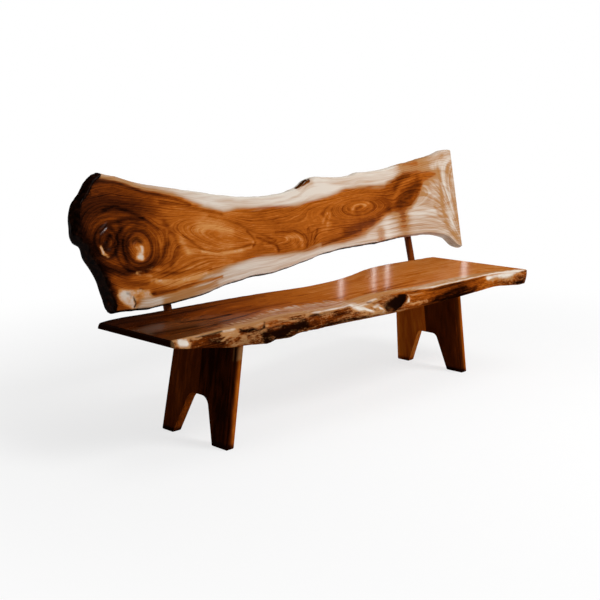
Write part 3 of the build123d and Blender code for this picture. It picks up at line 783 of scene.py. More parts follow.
class BENCH_OT_seat_slab(bpy.types.Operator):
    """Make the seat slab with its two live edges and its figured, varnished wood"""

    bl_idname = "bench.seat_slab"
    bl_label = "Seat slab"

    def execute(self, context):
        number, cells, quads = box_skin(SEAT_GRID)
        points, plain, across = seat_points(number, cells)
        x, y, z = plain.T
        waves = rough(plain * (0.07, 1, 1), 45, 41)
        rings = SEAT_RINGS_ACROSS * across + 0.9 * waves + (SEAT_TOP - z) / SEAT_RING_THICKNESS
        hill_x, hill_y, length, width, height = SEAT_HILL
        rings += height * np.exp(-(((x - hill_x) / length) ** 2) - ((y - hill_y) / width) ** 2)
        arris = seat_edges(x, np.full_like(x, SEAT_TOP))[0]
        strip = smoothstep(arris + read(SEAT_STRIP, x) - y, -5, 7)
        reach = read(SEAT_SAP, x) - y
        haze = smoothstep(reach, -30, 40) * read(SEAT_HAZE, x) * (1 - 0.5 * smoothstep(reach, 25, 70))
        # The sawn end faces are darkened in tone and in the dark marks: painted shade, as the left end
        # faces away from the main lamp; the right end gets the same.
        end = smoothstep(np.abs(x), SEAT_LENGTH / 2 - 2, SEAT_LENGTH / 2 - 0.5) * (z < SEAT_TOP - 1)
        edge = smoothstep(SEAT_TOP - z, 0.5, 6) * smoothstep(-100 - y, 0, 40) * (1 - end)
        # A painted highlight along the front arris, and a painted shade line just under it.
        painted_arris_highlight = 1.3 * np.exp(-(((SEAT_TOP - 2.5 - z) / 2.2) ** 2)) * read(SEAT_ARRIS_HIGHLIGHT_AND_SHADE, x)
        painted_shade_under_arris = np.exp(-(((SEAT_TOP - 9 - z) / 3) ** 2)) * read(SEAT_ARRIS_HIGHLIGHT_AND_SHADE, x)
        # The top's tone carries a painted sheen towards the right.
        tone = read(SEAT_TONE, x) - 0.35 * end
        tone -= 0.12 * smoothstep(y, 60, 180) * smoothstep(-x, -100, 300)
        low = smoothstep(SEAT_TOP - z, 12, 46)
        upper, lower = (read(SEAT_EDGE_TONE[:, [0, side]], x) for side in (1, 2))
        tone = tone * (1 - edge) + edge * (upper + (lower - upper) * low)
        attributes = {
            "rings": rings,
            "sap": 0.9 * strip,
            "haze": 0.9 * haze * (1 - strip),
            "reach": np.clip(reach, -100, 100),
            "tone": tone,
            "stain": read(SEAT_STAIN, x) + 0.25 * strip + 0.95 * haze,
            # The dark marks take in the painted shade line under the arris and the end faces' painted
            # shade; the pale ones take in the painted highlight along the arris.
            "dark": painted(plain, SEAT_DARK) + 0.6 * end + 0.2 * edge * painted_shade_under_arris,
            "pale": painted(plain, SEAT_PALE) + edge * (painted_arris_highlight + read(SEAT_CREAM, x)),
            "edge": edge,
        }
        points = np.clip(place_points(points), SEAT_LOW, SEAT_HIGH)
        slab = mesh_object("seat_slab_live_edge", points, quads, attributes)
        slab.data.materials.append(seat_material(context.scene.bench_finish))
        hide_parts("seat_slab")
        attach(slab, "root")
        return {"FINISHED"}


# ------------------------------------------------------------------------------------------------
# Back slab. Its own frame: along the bench, up the lean from the seat's top, and out of the front.
# ------------------------------------------------------------------------------------------------


def ellipse(along, up, half_length, half_height, tilt, sides=24):
    """Closed path round an ellipse on the back slab's front."""
    angle = np.linspace(0, 2 * pi, sides + 1)
    a, b = half_length * np.cos(angle), half_height * np.sin(angle)
    turn = radians(tilt)
    return [
        (along + p * cos(turn) - q * sin(turn), up + p * sin(turn) + q * cos(turn))
        for p, q in zip(a, b)
    ]


# Along the back slab: tone of its heartwood, and share of stain in its upper and lower sapwood.
BACK_TONE = np.array([
    (-1110, 0.26), (-960, 0.36), (-900, 0.40), (-775, 0.52), (-640, 0.62), (-570, 0.74),
    (-375, 0.78), (-165, 0.67), (60, 0.66), (390, 0.69), (600, 0.62), (800, 0.60), (1110, 0.68),
])
BACK_STAIN_ABOVE = np.array([
    (-1110, 0.8), (-640, 0.65), (-520, 0.4), (-380, 0.05), (250, 0.0), (420, 0.2), (600, 0.2),
    (720, 0.35), (800, 1.0), (930, 0.9), (1060, 0.5), (1110, 0.6),
])
BACK_STAIN_BELOW = np.array([
    (-1110, 0.75), (-620, 0.65), (-520, 0.5), (-300, 0.35), (200, 0.3), (450, 0.4), (600, 0.45),
    (690, 0.7), (760, 0.7), (830, 0.5), (940, 0.55), (1110, 0.65),
])
# Painted features of the front face, dark, tan and pale: a path of (along, up), a width and a strength.
BACK_DARK = (
    ([(-970, 400), (-900, 425), (-800, 405), (-700, 375)], 42, 0.45),
    (
        [
            (-960, 492), (-890, 499), (-829, 491), (-766, 468), (-713, 444), (-645, 429),
            (-572, 408), (-498, 379),
        ],
        6, 0.6,
    ),
    ([(-1040, 400), (-1010, 330), (-975, 210), (-935, 90)], 34, 0.85),
    ([(-908, 281)], 62, 0.3),
    (ellipse(-908, 281, 28, 32, 0), 6, 0.45),
    ([(-920, 262), (-890, 300)], 9, 0.5),
    (ellipse(-908, 281, 50, 56, 0), 8, 0.55),
    (ellipse(-769, 243, 56, 61, 0), 8, 0.6),
    (ellipse(-769, 243, 74, 78, 0), 6, 0.4),
    (ellipse(-779, 243, 98, 92, 0), 6, 0.4),
    ([(-838, 335), (-842, 250), (-835, 180)], 14, 0.4),
    ([(-950, 195), (-850, 160), (-760, 160), (-690, 180), (-635, 245)], 15, 0.6),
    ([(-880, 345), (-800, 352), (-728, 345), (-672, 300)], 7, 0.55),
    ([(-900, 395), (-848, 402), (-780, 375), (-729, 347)], 6, 0.5),
    ([(-637, 325), (-600, 270), (-590, 215), (-640, 160)], 10, 0.35),
    ([(-800, 93), (-775, 70), (-727, 62), (-649, 67), (-541, 76), (-402, 84)], 5, 0.75),
    ([(-760, 150), (-600, 125), (-450, 122)], 5, 0.5),
    ([(-640, 398), (-560, 385), (-490, 366), (-420, 345), (-350, 328)], 8, 0.4),
    ([(-417, 325), (-347, 307), (-277, 281), (-208, 242), (-135, 214), (-87, 189)], 5, 0.3),
    ([(-560, 265), (-500, 218), (-470, 200), (-401, 184), (-300, 183), (-215, 190)], 5, 0.5),
    ([(-234, 245), (-205, 215), (-199, 194), (-215, 182)], 5, 0.5),
    ([(-188, 216), (-140, 195), (-85, 170), (-78, 148)], 6, 0.45),
    ([(-79, 224), (31, 216), (90, 192), (100, 165), (88, 146)], 5, 0.35),
    ([(168, 209), (150, 182), (134, 156)], 6, 0.4),
    ([(112, 230), (124, 190), (112, 150)], 5, 0.2),
    (ellipse(452, 277, 108, 34, -2), 5, 0.22),
    (ellipse(452, 277, 78, 20, -2), 5, 0.2),
    ([(430, 272), (470, 278)], 8, 0.35),
    ([(730, 268), (800, 296), (885, 345)], 34, 0.55),
    ([(715, 340), (760, 380), (830, 396)], 12, 0.35),
    ([(340, 183), (412, 194), (540, 208), (650, 246)], 20, 0.5),
    ([(560, 300), (640, 303)], 26, 0.25),
    ([(-690, 30), (-600, 42), (-520, 50), (-440, 62)], 16, 0.3),
    ([(-790, 90), (-765, 68), (-735, 62)], 8, 0.3),
    ([(180, 140), (320, 160), (440, 176)], 8, 0.5),
    ([(-1020, 470), (-950, 508), (-905, 520)], 13, 1.4),
)
BACK_TAN = (
    ([(1064, 400), (1056, 300), (1046, 225), (1056, 150), (1100, 85), (1150, 40)], 14, 0.4),
    ([(1136, 410), (1138, 300), (1140, 180), (1152, 100)], 14, 0.35),
    ([(985, 232), (1010, 190), (1060, 128), (1120, 62)], 10, 0.3),
    ([(930, 385), (1040, 382)], 26, 0.5),
    ([(735, 170), (745, 205)], 34, 1.2),
    ([(566, 120), (572, 150)], 24, 1.1),
    ([(780, 455), (900, 450)], 20, 0.6),
    ([(100, 392), (178, 412)], 16, 0.6),
    ([(940, 440), (1050, 452), (1110, 470)], 12, 0.3),
)
BACK_PALE = (
    # Strokes on the domed knot near along -770 are partly paler wood and partly a painted highlight of its
    # gloss.
    ([(-782, 208), (-766, 203)], 11, 1.15),
    ([(-764, 250), (-758, 228)], 8, 0.45),
    ([(-790, 255), (-778, 235)], 12, 0.4),
    ([(-935, 262), (-925, 240), (-905, 228)], 7, 0.5),
    ([(-935, 270), (-930, 250)], 8, 0.5),
    ([(-895, 262), (-885, 280)], 8, 0.5),
    ([(-758, 240), (-768, 215)], 9, 0.5),
    ([(-790, 225), (-750, 240)], 26, 0.3),
    ([(-935, 240), (-915, 228)], 8, 0.5),
    ([(-715, 312), (-668, 245), (-682, 190), (-735, 162), (-800, 155)], 6, 0.45),
    ([(-820, 145), (-760, 138), (-700, 150)], 15, 0.5),
    ([(-905, 140), (-885, 100)], 24, 0.4),
    ([(-740, 112), (-640, 88), (-480, 108)], 18, 0.6),
    ([(-548, 196), (-458, 200), (-353, 186), (-280, 170)], 16, 0.35),
    ([(-570, 240), (-548, 200)], 12, 0.4),
    ([(-470, 298), (-400, 283), (-320, 255)], 26, 0.5),
    ([(-480, 192), (-400, 174), (-300, 173), (-225, 180), (-203, 203)], 6, 0.55),
    ([(-882, 78), (-862, 55), (-845, 38)], 22, 1.05),
    ([(-860, 88), (-805, 84), (-765, 74)], 16, 0.9),
    ([(-840, 62), (-790, 52), (-720, 40)], 15, 0.6),
    ([(-780, 50), (-700, 45), (-600, 60)], 16, 0.5),
    ([(-720, 112), (-600, 100), (-450, 105)], 7, 0.35),
    ([(-520, 400), (-430, 372)], 10, 0.35),
    ([(-150, 178), (-100, 168), (-95, 152)], 9, 0.45),
    ([(-20, 196), (45, 192), (68, 170), (60, 150)], 12, 0.6),
    ([(10, 165), (20, 150)], 12, 0.4),
    ([(206, 234), (230, 262), (243, 272)], 7, 0.5),
    ([(232, 222), (262, 268)], 7, 0.4),
    ([(200, 200), (250, 215)], 12, 0.3),
    ([(400, 266), (430, 290), (520, 288)], 9, 0.55),
    # An upright pale band across the grain: a painted reflection of a window, where the window lamp also
    # reflects.
    ([(620, 215), (620, 140)], 30, 0.5),
    ([(700, 292), (745, 332), (800, 364), (870, 380)], 15, 0.38),
    ([(790, 215), (880, 210), (982, 212)], 20, 0.6),
    ([(560, 205), (650, 215)], 20, 0.45),
    ([(1126, 300), (1108, 190), (1090, 120)], 18, 0.7),
    ([(1075, 440), (1010, 420)], 16, 0.5),
    ([(1000, 330), (985, 260)], 26, 0.4),
    ([(1070, 340), (1085, 200), (1110, 110)], 9, 0.5),
)
# Cracks and pits in its front, in the same form.
BACK_CRACKS = (
    ([(-930, 316), (-905, 330), (-890, 345)], 5, 1.0),
    ([(-915, 270), (-905, 262)], 12, 0.8),
    ([(-795, 268), (-775, 276), (-760, 262)], 9, 0.8),
    ([(-834, 64), (-828, 44), (-838, 32)], 4, 1.0),
    ([(-860, 88), (-845, 78)], 4, 0.5),
)
CRACK_COLOUR = (0.012, 0.003, 0.001)
# The pocket in its upper edge: bark in it, and its hollow, as paths of (along, up, out) with a width
# and a strength or a depth.
BACK_POCKET_BARK = (
    ([(100, 402, 42), (178, 428, 42)], 12, 1.0),
    ([(120, 404, 56), (166, 418, 56)], 9, 0.8),
    ([(118, 406, 50), (163, 421, 50)], 4, -1.0),
)
BACK_POCKET = (([(95, 398, 45), (178, 428, 40)], 9, 7),)


def back_frame_points(points):
    """Points of the back slab's own frame in millimetres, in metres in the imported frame."""
    along, up, out = np.moveaxis(points, -1, 0)
    y = POST_AXIS_Y + up * sin(RAKE) - out * cos(RAKE)
    z = SEAT_TOP + up * cos(RAKE) + out * sin(RAKE)
    return place_points(np.stack([along, y, z], -1))


def back_points(number, cells):
    """Points of the back slab's skin before the wear: the lower and upper edge are mixed by the
    share up, and the left end's departure from a straight line is added and fades out to the right.
    Also their shares along and up."""
    a = stations(number.shape[0], 0, 1, [(0, 0.02, 2), (1, 0.004, 4), (0.1, 0.12, 0.4)])[cells[:, 0]]
    b = stations(number.shape[1], 0, 1, [(0, 0.03, 2), (1, 0.03, 2)])[cells[:, 1]]
    c = np.linspace(0, 1, number.shape[2])[cells[:, 2]]
    out = BACK_REAR + c * (BACK_FRONT - BACK_REAR)
    levels = (BACK_REAR, (BACK_REAR + BACK_FRONT) / 2, BACK_FRONT)
    inset = parabola(out, levels, (BACK_ARRIS_INSET, 0, BACK_ARRIS_INSET))
    bark = parabola(out, levels, (BACK_ARRIS_INSET, 0, BACK_BARK_INSET))
    gap = BACK_UPPER_LINE - BACK_LOWER_LINE
    rise, fall = smoothstep(a, 0, 0.02), smoothstep(1 - a, 0, 0.02)
    sides = []
    for edge, line, sign, seed in (
        (BACK_LOWER, BACK_LOWER_LINE, 1, 7),
        (BACK_UPPER, BACK_UPPER_LINE, -1, 9),
    ):
        share = edge[0, 0] + a * (edge[-1, 0] - edge[0, 0])
        x = BACK_OFFSET + share * BACK_LENGTH
        ripple = 1.5 * rough(np.stack([x, 0 * x, 0 * x], -1), 60, seed) + 1
        up = line + gap * through(edge[:, 0], edge[:, 1], share)
        sides.append((x, up + sign * (inset + ripple * rise * fall)))
    (lower_x, lower_up), (upper_x, upper_up) = sides
    left_x = BACK_OFFSET - BACK_LENGTH / 2 + BACK_LEFT[:, 0] * BACK_LENGTH
    left_up = BACK_LOWER_LINE + gap * BACK_LEFT[:, 1]
    corner_x = BACK_OFFSET + BACK_LENGTH * np.array([BACK_LOWER[0, 0], BACK_UPPER[0, 0]])
    corner_up = np.array([
        BACK_LOWER_LINE + gap * BACK_LOWER[0, 1], BACK_UPPER_LINE + gap * BACK_UPPER[0, 1]
    ])
    knots_x = np.concatenate([corner_x[:1], left_x, corner_x[1:]])
    knots_up = np.concatenate([corner_up[:1], left_up, corner_up[1:]])
    run = np.concatenate([[0], np.cumsum(np.hypot(np.diff(knots_x), np.diff(knots_up)))])
    run /= run[-1]
    middle = np.concatenate([[0], np.ones(len(left_x)), [0]])
    bend_x = through(run, knots_x, b) + bark * through(run, middle, b)
    bend_x -= corner_x[0] + b * (corner_x[1] - corner_x[0])
    bend_up = through(run, knots_up, b) - corner_up[0] - b * (corner_up[1] - corner_up[0])
    fade = (1 - a) ** 5
    x = (1 - b) * lower_x + b * upper_x + fade * bend_x
    up = (1 - b) * lower_up + b * upper_up + fade * bend_up
    return np.stack([x, up, out], -1), a, b


def back_rings(points, a, b):
    """Growth rings of the back slab: a dome across it that falls off towards both ends, bell-shaped
    hills, two knots that rise to a point, a wobble, and a slope through the thickness."""
    x, up, out = points.T
    wobble = rough(points * (0.25, 1, 1), 60, 61)
    rings = -BACK_RINGS_UP * (2 * b - 1) ** 2
    rings -= 2.5 * np.exp(-(1 - a) * BACK_LENGTH / 90)
    rings -= 4 * np.exp(-a * BACK_LENGTH / 90)
    for along, middle, length, height, tilt, count in BACK_HILLS:
        turn = radians(tilt)
        p = (x - along) * cos(turn) + (up - middle) * sin(turn)
        q = (up - middle) * cos(turn) - (x - along) * sin(turn)
        rings += count * np.exp(-((p / length) ** 2 + (q / height) ** 2) ** 1.4)
    for along, middle, _, count, _ in BACK_KNOTS:
        away = np.hypot(x - along, (up - middle) * 0.94)
        away = away * (1 + 0.05 * noise(points, 45, 67))
        rings += 1.45 * count * np.exp(-away / 78)
    return rings + 0.35 * wobble + (BACK_FRONT - out) / BACK_RING_THICKNESS


def back_flow(a, b):
    """Number whose level lines the sapwood's grain follows: they run along the slab and, towards the
    sawn end, sweep down to its lower corner. It grows more slowly where it is large."""
    near_end = np.exp(-((1 - a) * BACK_LENGTH + 20) / 170)
    fan = 420 * b / (1 - (1 - b ** 4) * near_end)
    return 300 * np.log1p(fan / 300)


def back_bark(points, number, a, b, facing):
    """How much bark shows: on the left end, on the lower edge behind its front arris, on the sides
    and the rear next to the left end, in the upper edge's pocket, and in a band inside the left end's
    outline."""
    x, up, out = points.T
    behind_arris = smoothstep(BACK_FRONT - 2 - out, 0, 6)
    rim = (b < 0.001) * behind_arris * (0.15 + 0.85 * smoothstep(-x, -850, -600))
    end = number[0, :, -1]
    band = (0.8 - 0.2 * smoothstep(up, 150, 300)) * stroke(points[:, :2], points[end, :2], 20)
    return np.maximum.reduce((
        smoothstep(-a, -0.004, -0.001),
        0.8 * rim,
        (1 - facing) * smoothstep(-a, -0.03, -0.002),
        painted(points, BACK_POCKET_BARK),
    )) + band * smoothstep(-x, 850, 900)


def shape_back(points, number):
    """Wear the skin: a faint wave over the front, a domed and a hollow knot, cracks, coarse bark
    round the left end, natural edges, the upper edge's pocket, and grooves that the posts lie in."""
    front = number[:, :, -1]
    sheet = points[front]
    lift = 0.35 * rough(sheet, 170, 71, 2)
    for along, middle, radius, _, height in BACK_KNOTS:
        away = np.hypot(sheet[..., 0] - along, sheet[..., 1] - middle) / radius
        lift += height * np.exp(-(away * 1.1) ** 4) - 0.9 * np.exp(-(((away - 1) / 0.16) ** 2))
        lift += 0.12 * np.cos(away * 24) * np.exp(-(away / 1.4) ** 2)
    lift -= 2.5 * flat_painted(sheet, BACK_CRACKS)
    points[front, 2] += lift - 0.4
    depth = bpy.context.scene.bench_edges.relief / MM
    across = number.shape[2] - 1 - np.arange(number.shape[2])
    fade = smoothstep(across, -1, 3) * smoothstep(across[::-1], -1, 3)
    for ids, side, scale, height in (
        (number[0], 1, (1, 0.5, 1), 1.1),
        (number[:, 0], 1, (0.25, 1, 1), 0.35),
        (number[:, -1], -1, (0.25, 1, 1), 0.35),
    ):
        sheet = points[ids]
        relief = depth * height * (0.6 * rough(sheet * scale, 24, 73) - 0.4)
        points[ids] = sheet - (side * relief * fade)[..., None] * patch_normals(sheet)
    points[:, 1] -= painted(points, BACK_POCKET) * (1 + 0.5 * noise(points, 9, 79))
    for post in POST_X:
        aside = np.abs(points[:, 0] - post)
        groove = np.sqrt(np.clip((POST_RADIUS + POST_FIT) ** 2 - aside ** 2, 0, None))
        hollow = (points[:, 1] < POST_TOP + POST_FIT) & (points[:, 2] < groove)
        points[:, 2] = np.where(hollow, groove, points[:, 2])
    return points


def flat_painted(points, features):
    """Sum of strokes of (along, up) paths on the back slab's front, seen square to the face."""
    return painted(points[..., :2], features)


def back_material(finish):
    """Figured orange-brown heartwood between pale sapwood bands, with bark left at its edges."""
    material, shader, start = new_material("back_varnished_wood", {
        "Coat Roughness": finish.coat_roughness, "Specular IOR Level": finish.gloss,
    })
    place = start.place()
    lines, fine, streaks, mottle, pores = figure(start.attribute("rings"), place)
    dark, pale = start.attribute("dark"), start.attribute("pale")
    bark, crack = start.attribute("bark"), start.attribute("crack")
    cloud = grain_noise(place, 200, 13)
    x, _, z = place.parts()
    flow = start.attribute("flow")
    grain = start.vector(flow / 15, x / 420, z / 420).noise(detail=4.0, roughness=0.6)
    beyond = start.attribute("sap") + 34 * (cloud - 0.5) + 24 * (mottle - 0.5) + 36 * (grain - 0.5)
    sap_mask = beyond.step(-8, 8)
    tone = start.attribute("tone") + 0.3 * (mottle - 0.5) + 0.38 * (fine - 0.5) + 0.6 * (streaks - 0.5)
    tone = tone - 0.14 * lines - 0.06 * pores + 0.35 * (grain_noise(place, 30, 6) - 0.5) + 0.35 * pale
    tone = tone - 0.5 * dark * (0.6 + 0.8 * streaks) * (1 - 0.75 * sap_mask)
    heart = heartwood(tone.limit(), finish)
    stain = start.attribute("stain") * (1 + 0.3 * lines + 1.4 * (fine - 0.5)) + 0.9 * (cloud - 0.5)
    stain = stain + 2.2 * (grain - 0.5) - 0.5 * pale + 0.9 * beyond.step(22, -6)
    stain = stain + start.attribute("tan") + 1.6 * dark
    sapwood = stain.limit().mix(finish.sapwood, finish.sap_stain)
    sapwood = (lines * start.attribute("stain").limit() * 0.2).mix(sapwood, heart)
    bright = sap_mask * (1.3 - 1.6 * dark).limit() * (1 - 0.85 * stain.step(1.3, 1.8))
    colour = bright.mix(heart, sapwood)
    swirl = grain_noise(place, 34, 12)
    # Pale marks in the heartwood turn cream: paler wood, and the painted highlight on the domed knot.
    pale_wood_and_highlight = pale + 0.8 * (swirl - 0.5)
    cream = (pale_wood_and_highlight + 0.7 * (grain_noise(place, 11, 14) - 0.5)).step(0.7, 1.4)
    cream = cream.mix(finish.heart_pale, finish.sapwood)
    colour = ((1 - sap_mask) * pale_wood_and_highlight.step(0.45, 0.85) * 0.85).mix(colour, cream)
    ragged = 0.9 * (grain_noise(place, 40, 40) - 0.5) + 0.7 * (grain_noise(place, 12, 12) - 0.5)
    bark_mask = (bark + ragged).step(0.3, 0.75)
    crust = grain_noise(place, 16, 16).ramp(
        (0.4, shade(finish.bark, 0.06)), (0.6, shade(finish.bark, 0.3)), (0.8, shade(finish.bark, 1.3))
    )
    crust = (0.9 * start.attribute("tan") * (mottle + 0.3)).limit().mix(crust, heart)
    colour = crack.limit().mix(bark_mask.mix(colour, crust), CRACK_COLOUR)
    connect(
        shader,
        Base_Color=colour,
        Roughness=(0.36 + 0.12 * streaks + 0.4 * bark_mask).limit(),
        Coat_Weight=finish.coat * (1 - 0.85 * bark_mask),
        Normal=bump(start, streaks * 0.4 - 0.3 * pores + 2 * bark_mask * cloud, 0.0012, 0.35),
    )
    return material


class BENCH_OT_back_slab(bpy.types.Operator):
    """Make the leaning back slab with its knots, natural edges and figured, varnished wood"""

    bl_idname = "bench.back_slab"
    bl_label = "Back slab"

    def execute(self, context):
        number, cells, quads = box_skin(BACK_GRID)
        points, a, b = back_points(number, cells)
        rings = back_rings(points, a, b)
        x, up, out = points.T
        facing = smoothstep(out, BACK_FRONT - 35, BACK_FRONT - 2)
        attributes = {
            "rings": rings,
            "sap": np.maximum(up - read(BACK_SAP_ABOVE, x), read(BACK_SAP_BELOW, x) - up),
            "tone": read(BACK_TONE, x),
            "stain": np.where(b > 0.5, read(BACK_STAIN_ABOVE, x), read(BACK_STAIN_BELOW, x)),
            "flow": back_flow(a, b),
            "tan": facing * flat_painted(points, BACK_TAN),
            "dark": facing * flat_painted(points, BACK_DARK),
            # The pale marks include the domed knot's painted highlight and a painted window reflection.
            "pale": facing * flat_painted(points, BACK_PALE),
            "crack": facing * flat_painted(points, BACK_CRACKS),
            "bark": back_bark(points, number, a, b, facing),
        }
        points = np.clip(back_frame_points(shape_back(points, number)), BACK_LOW, BACK_HIGH)
        slab = mesh_object("back_slab_live_edge", points, quads, attributes)
        slab.data.materials.append(back_material(context.scene.bench_finish))
        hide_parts("back_slab")
        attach(slab, "root")
        return {"FINISHED"}


# ------------------------------------------------------------------------------------------------
# Legs, posts and fastenings, which are the frame's own parts
# ------------------------------------------------------------------------------------------------

# Boards of the legs: tone of the broad faces and of the narrow ones, how pale the patch is at the top of
# the front one, and how much a painted highlight lightens the board towards its rear edge.
LEG_BOARDS = {
    "left_leg_front_board": (0.05, 0.64, 0.9, 0.0),
    "left_leg_rear_board": (0.22, 0.42, 0.0, 0.0),
    "right_leg_front_board": (0.19, 0.68, 0.0, 0.0),
    "right_leg_rear_board": (0.55, 0.78, 0.0, 0.3),
}
LEG_SPLAY = radians(9)
# The legs' front edge, and the height of the pale patch's middle.
LEG_FRONT = -183
LEG_PATCH_HEIGHT = 345
POSTS = ["left_back_post", "right_back_post"]
BATTENS = ["left_batten", "right_batten"]
DOWELS = ["left_leg_dowels", "right_leg_dowels"]
STEEL = [
    f"{side}_{part}"
    for side in ("left", "right")
    for part in ("batten_leg_screws", "batten_seat_screws", "post_coach_screws", "post_washers")
]


def upright_grain(start, seed):
    """Grain of an upright board: streaks along its height, and short pores."""
    x, y, z = start.place().parts()
    streaks = start.vector(x / 14 + seed, y / 14, z / 190).noise(detail=4.0, roughness=0.6)
    broad = start.vector(x / 60 + seed, y / 34, z / 420).noise(detail=2.0)
    pores = start.vector(x / 1.5, y / 1.5, z / 16).noise(detail=1.0).step(0.6, 0.75)
    return streaks, broad, pores


def leg_material(node, finish, seed, face_tone, edge_tone, patch, rear):
    """Dark oiled board: its narrow edges are sawn through lighter wood than its broad faces, from which
    the dark oil fades across the thickness. It is darker within 26 millimetres of the floor, and may have
    a painted highlight towards its rear edge."""
    material, shader, start = new_material(f"{node}_wood", {"Specular IOR Level": finish.gloss})
    streaks, broad, pores = upright_grain(start, seed)
    normal = start.node("NewGeometry", out="Normal").parts()
    x, y, z = start.place().parts()
    front = (y - LEG_FRONT).math("ABSOLUTE")
    narrow = (normal[0].math("ABSOLUTE").step(0.8, 0.3) + 0.6 * front.step(18, 3)).limit()
    low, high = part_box(node)
    rise = z if low.x < MIDDLE_X else high.z / MM - z
    across = x - (low.x - MIDDLE_X) / MM - rise * tan(LEG_SPLAY)
    narrow = narrow * (1 - front.step(18, 3) * (1 - across.step(0, 26)))
    cloud = start.vector(x / 30 + seed, y / 30, z / 60).noise(detail=3.0)
    tone = face_tone + (edge_tone - face_tone) * narrow
    tone = tone + 0.35 * (streaks - 0.5) + 0.3 * (broad - 0.5)
    tone = tone - 0.05 * pores + 0.5 * narrow * (cloud - 0.5)
    # Darker within 26 millimetres of the floor, and a painted highlight towards the rear edge, of the
    # strength given as rear.
    tone = tone - 0.35 * z.step(26, 4) + rear * y.step(140, 190)
    away = (z - LEG_PATCH_HEIGHT).math("ABSOLUTE") / 26
    pale = (away + 0.9 * (cloud - 0.5)).step(1.15, 0.75) * narrow * patch
    colour = pale.mix(heartwood(tone.limit(), finish), finish.sap_stain)
    connect(
        shader,
        Base_Color=colour,
        Roughness=0.4 + 0.2 * streaks,
        Normal=bump(start, streaks - 0.3 * pores, 0.0006, 0.4),
    )
    return material


class BENCH_OT_legs(bpy.types.Operator):
    """Finish the two board legs and the battens that fix them under the seat"""

    bl_idname = "bench.legs"
    bl_label = "Legs and battens"

    def execute(self, context):
        finish = context.scene.bench_finish
        for seed, (node, tones) in enumerate(LEG_BOARDS.items()):
            dress(node, leg_material(node, finish, 7.3 * seed, *tones))
        for node in BATTENS:
            dress(node, leg_material(node, finish, 3.7, 0.32, 0.36, 0.0, 0.0))
        return {"FINISHED"}


class BENCH_OT_posts(bpy.types.Operator):
    """Finish the two round posts behind the back slab and the pegs in the legs"""

    bl_idname = "bench.posts"
    bl_label = "Posts and pegs"

    def execute(self, context):
        finish = context.scene.bench_finish
        for seed, node in enumerate(POSTS):
            material, shader, start = new_material(f"{node}_wood", {
                "Coat Roughness": 0.25, "Coat Weight": 0.4 * finish.coat,
                "Specular IOR Level": 2 * finish.gloss,
            })
            streaks, broad, pores = upright_grain(start, 5 + seed)
            tone = 0.4 + 0.4 * (streaks - 0.5) + 0.3 * (broad - 0.5) - 0.08 * pores
            connect(
                shader,
                Base_Color=heartwood(tone.limit(), finish),
                Roughness=0.4 + 0.2 * streaks,
                Normal=bump(start, streaks - 0.3 * pores, 0.0006, 0.4),
            )
            dress(node, material)
        for node in DOWELS:
            material, shader, start = new_material(f"{node}_wood", {"Specular IOR Level": 0.1})
            streaks, broad, pores = upright_grain(start, 11)
            wood = (streaks - 0.3 * pores).limit()
            connect(
                shader,
                Base_Color=wood.ramp((0.3, finish.sap_stain), (0.7, finish.sapwood)),
                Roughness=0.5 + 0.2 * streaks,
                Normal=bump(start, streaks - pores, 0.0004, 0.5),
            )
            dress(node, material)
        return {"FINISHED"}


class BENCH_OT_fastenings(bpy.types.Operator):
    """Finish the steel screws, coach screws and washers"""

    bl_idname = "bench.fastenings"
    bl_label = "Steel fastenings"

    def execute(self, context):
        steel = context.scene.bench_finish.steel
        material, shader, start = new_material("zinc_plated_steel", {"Metallic": 1.0})
        x, y, z = start.place().parts()
        bloom = start.vector(x / 5, y / 5, z / 5).noise(detail=4.0, roughness=0.65)
        connect(
            shader,
            Base_Color=bloom.ramp((0.3, shade(steel, 0.72)), (0.7, steel)),
            Roughness=0.28 + 0.3 * bloom,
            Normal=bump(start, bloom, 0.0002, 0.3),
        )
        for node in STEEL:
            dress(node, material)
        return {"FINISHED"}


# ------------------------------------------------------------------------------------------------
# Studio
# ------------------------------------------------------------------------------------------------

# Camera: place in metres, angles in radians, lens in millimetres, shift as a share of the picture.
VIEW_PLACE = Vector((-3.18705, -2.92124, 1.3013))
VIEW_YAW, VIEW_PITCH, VIEW_ROLL = 0.7778, -0.2071, -0.0137
VIEW_LENS = 64.255
VIEW_SHIFT = (0.02413, 0.00465)
# Half the floor's side, and the lamps' places, targets and sizes, in metres.
FLOOR_HALF = 40
LAMP_TARGET = Vector((0.0, 0.0, 0.55))
KEY_PLACE, KEY_SIZE = Vector((1.1, -3.2, 3.5)), (1.5, 1.5)
TOP_PLACE, TOP_SIZE = Vector((0.4, -0.6, 4.4)), (3.0, 2.0)
WINDOW_PLACE, WINDOW_SIZE = Vector((2.11, -1.175, 0.76)), (0.15, 0.42)
WINDOW_TARGET = Vector((0.45, 0.2, 0.62))
# Narrow lamps behind the bench, seen only in reflections: azimuth in degrees, width, strength.
STREAKS = (
    (47.6, 0.022, 0.7), (49.38, 0.022, 0.6), (50.1, 0.022, 0.6), (54.2, 0.04, 0.4),
)
# Their distance from the camera, and the height of their middle and of themselves, in metres.
STREAK_DISTANCE, STREAK_MIDDLE, STREAK_HEIGHT = 8.6, 1.35, 1.7


def lamp(name, place, target, size, power, only_gloss=False):
    """Area lamp at a place that faces a target; a gloss lamp shows only in reflections."""
    light = bpy.data.lights.new(name, "AREA")
    light.shape = "RECTANGLE"
    light.size, light.size_y = size
    light.energy = power
    piece = bpy.data.objects.new(name, light)
    piece.matrix_world = (
        Matrix.Translation(place) @ (target - place).to_track_quat("-Z", "Y").to_matrix().to_4x4()
    )
    piece.visible_camera = False
    piece.visible_diffuse = not only_gloss
    bpy.context.scene.collection.objects.link(piece)
    return piece


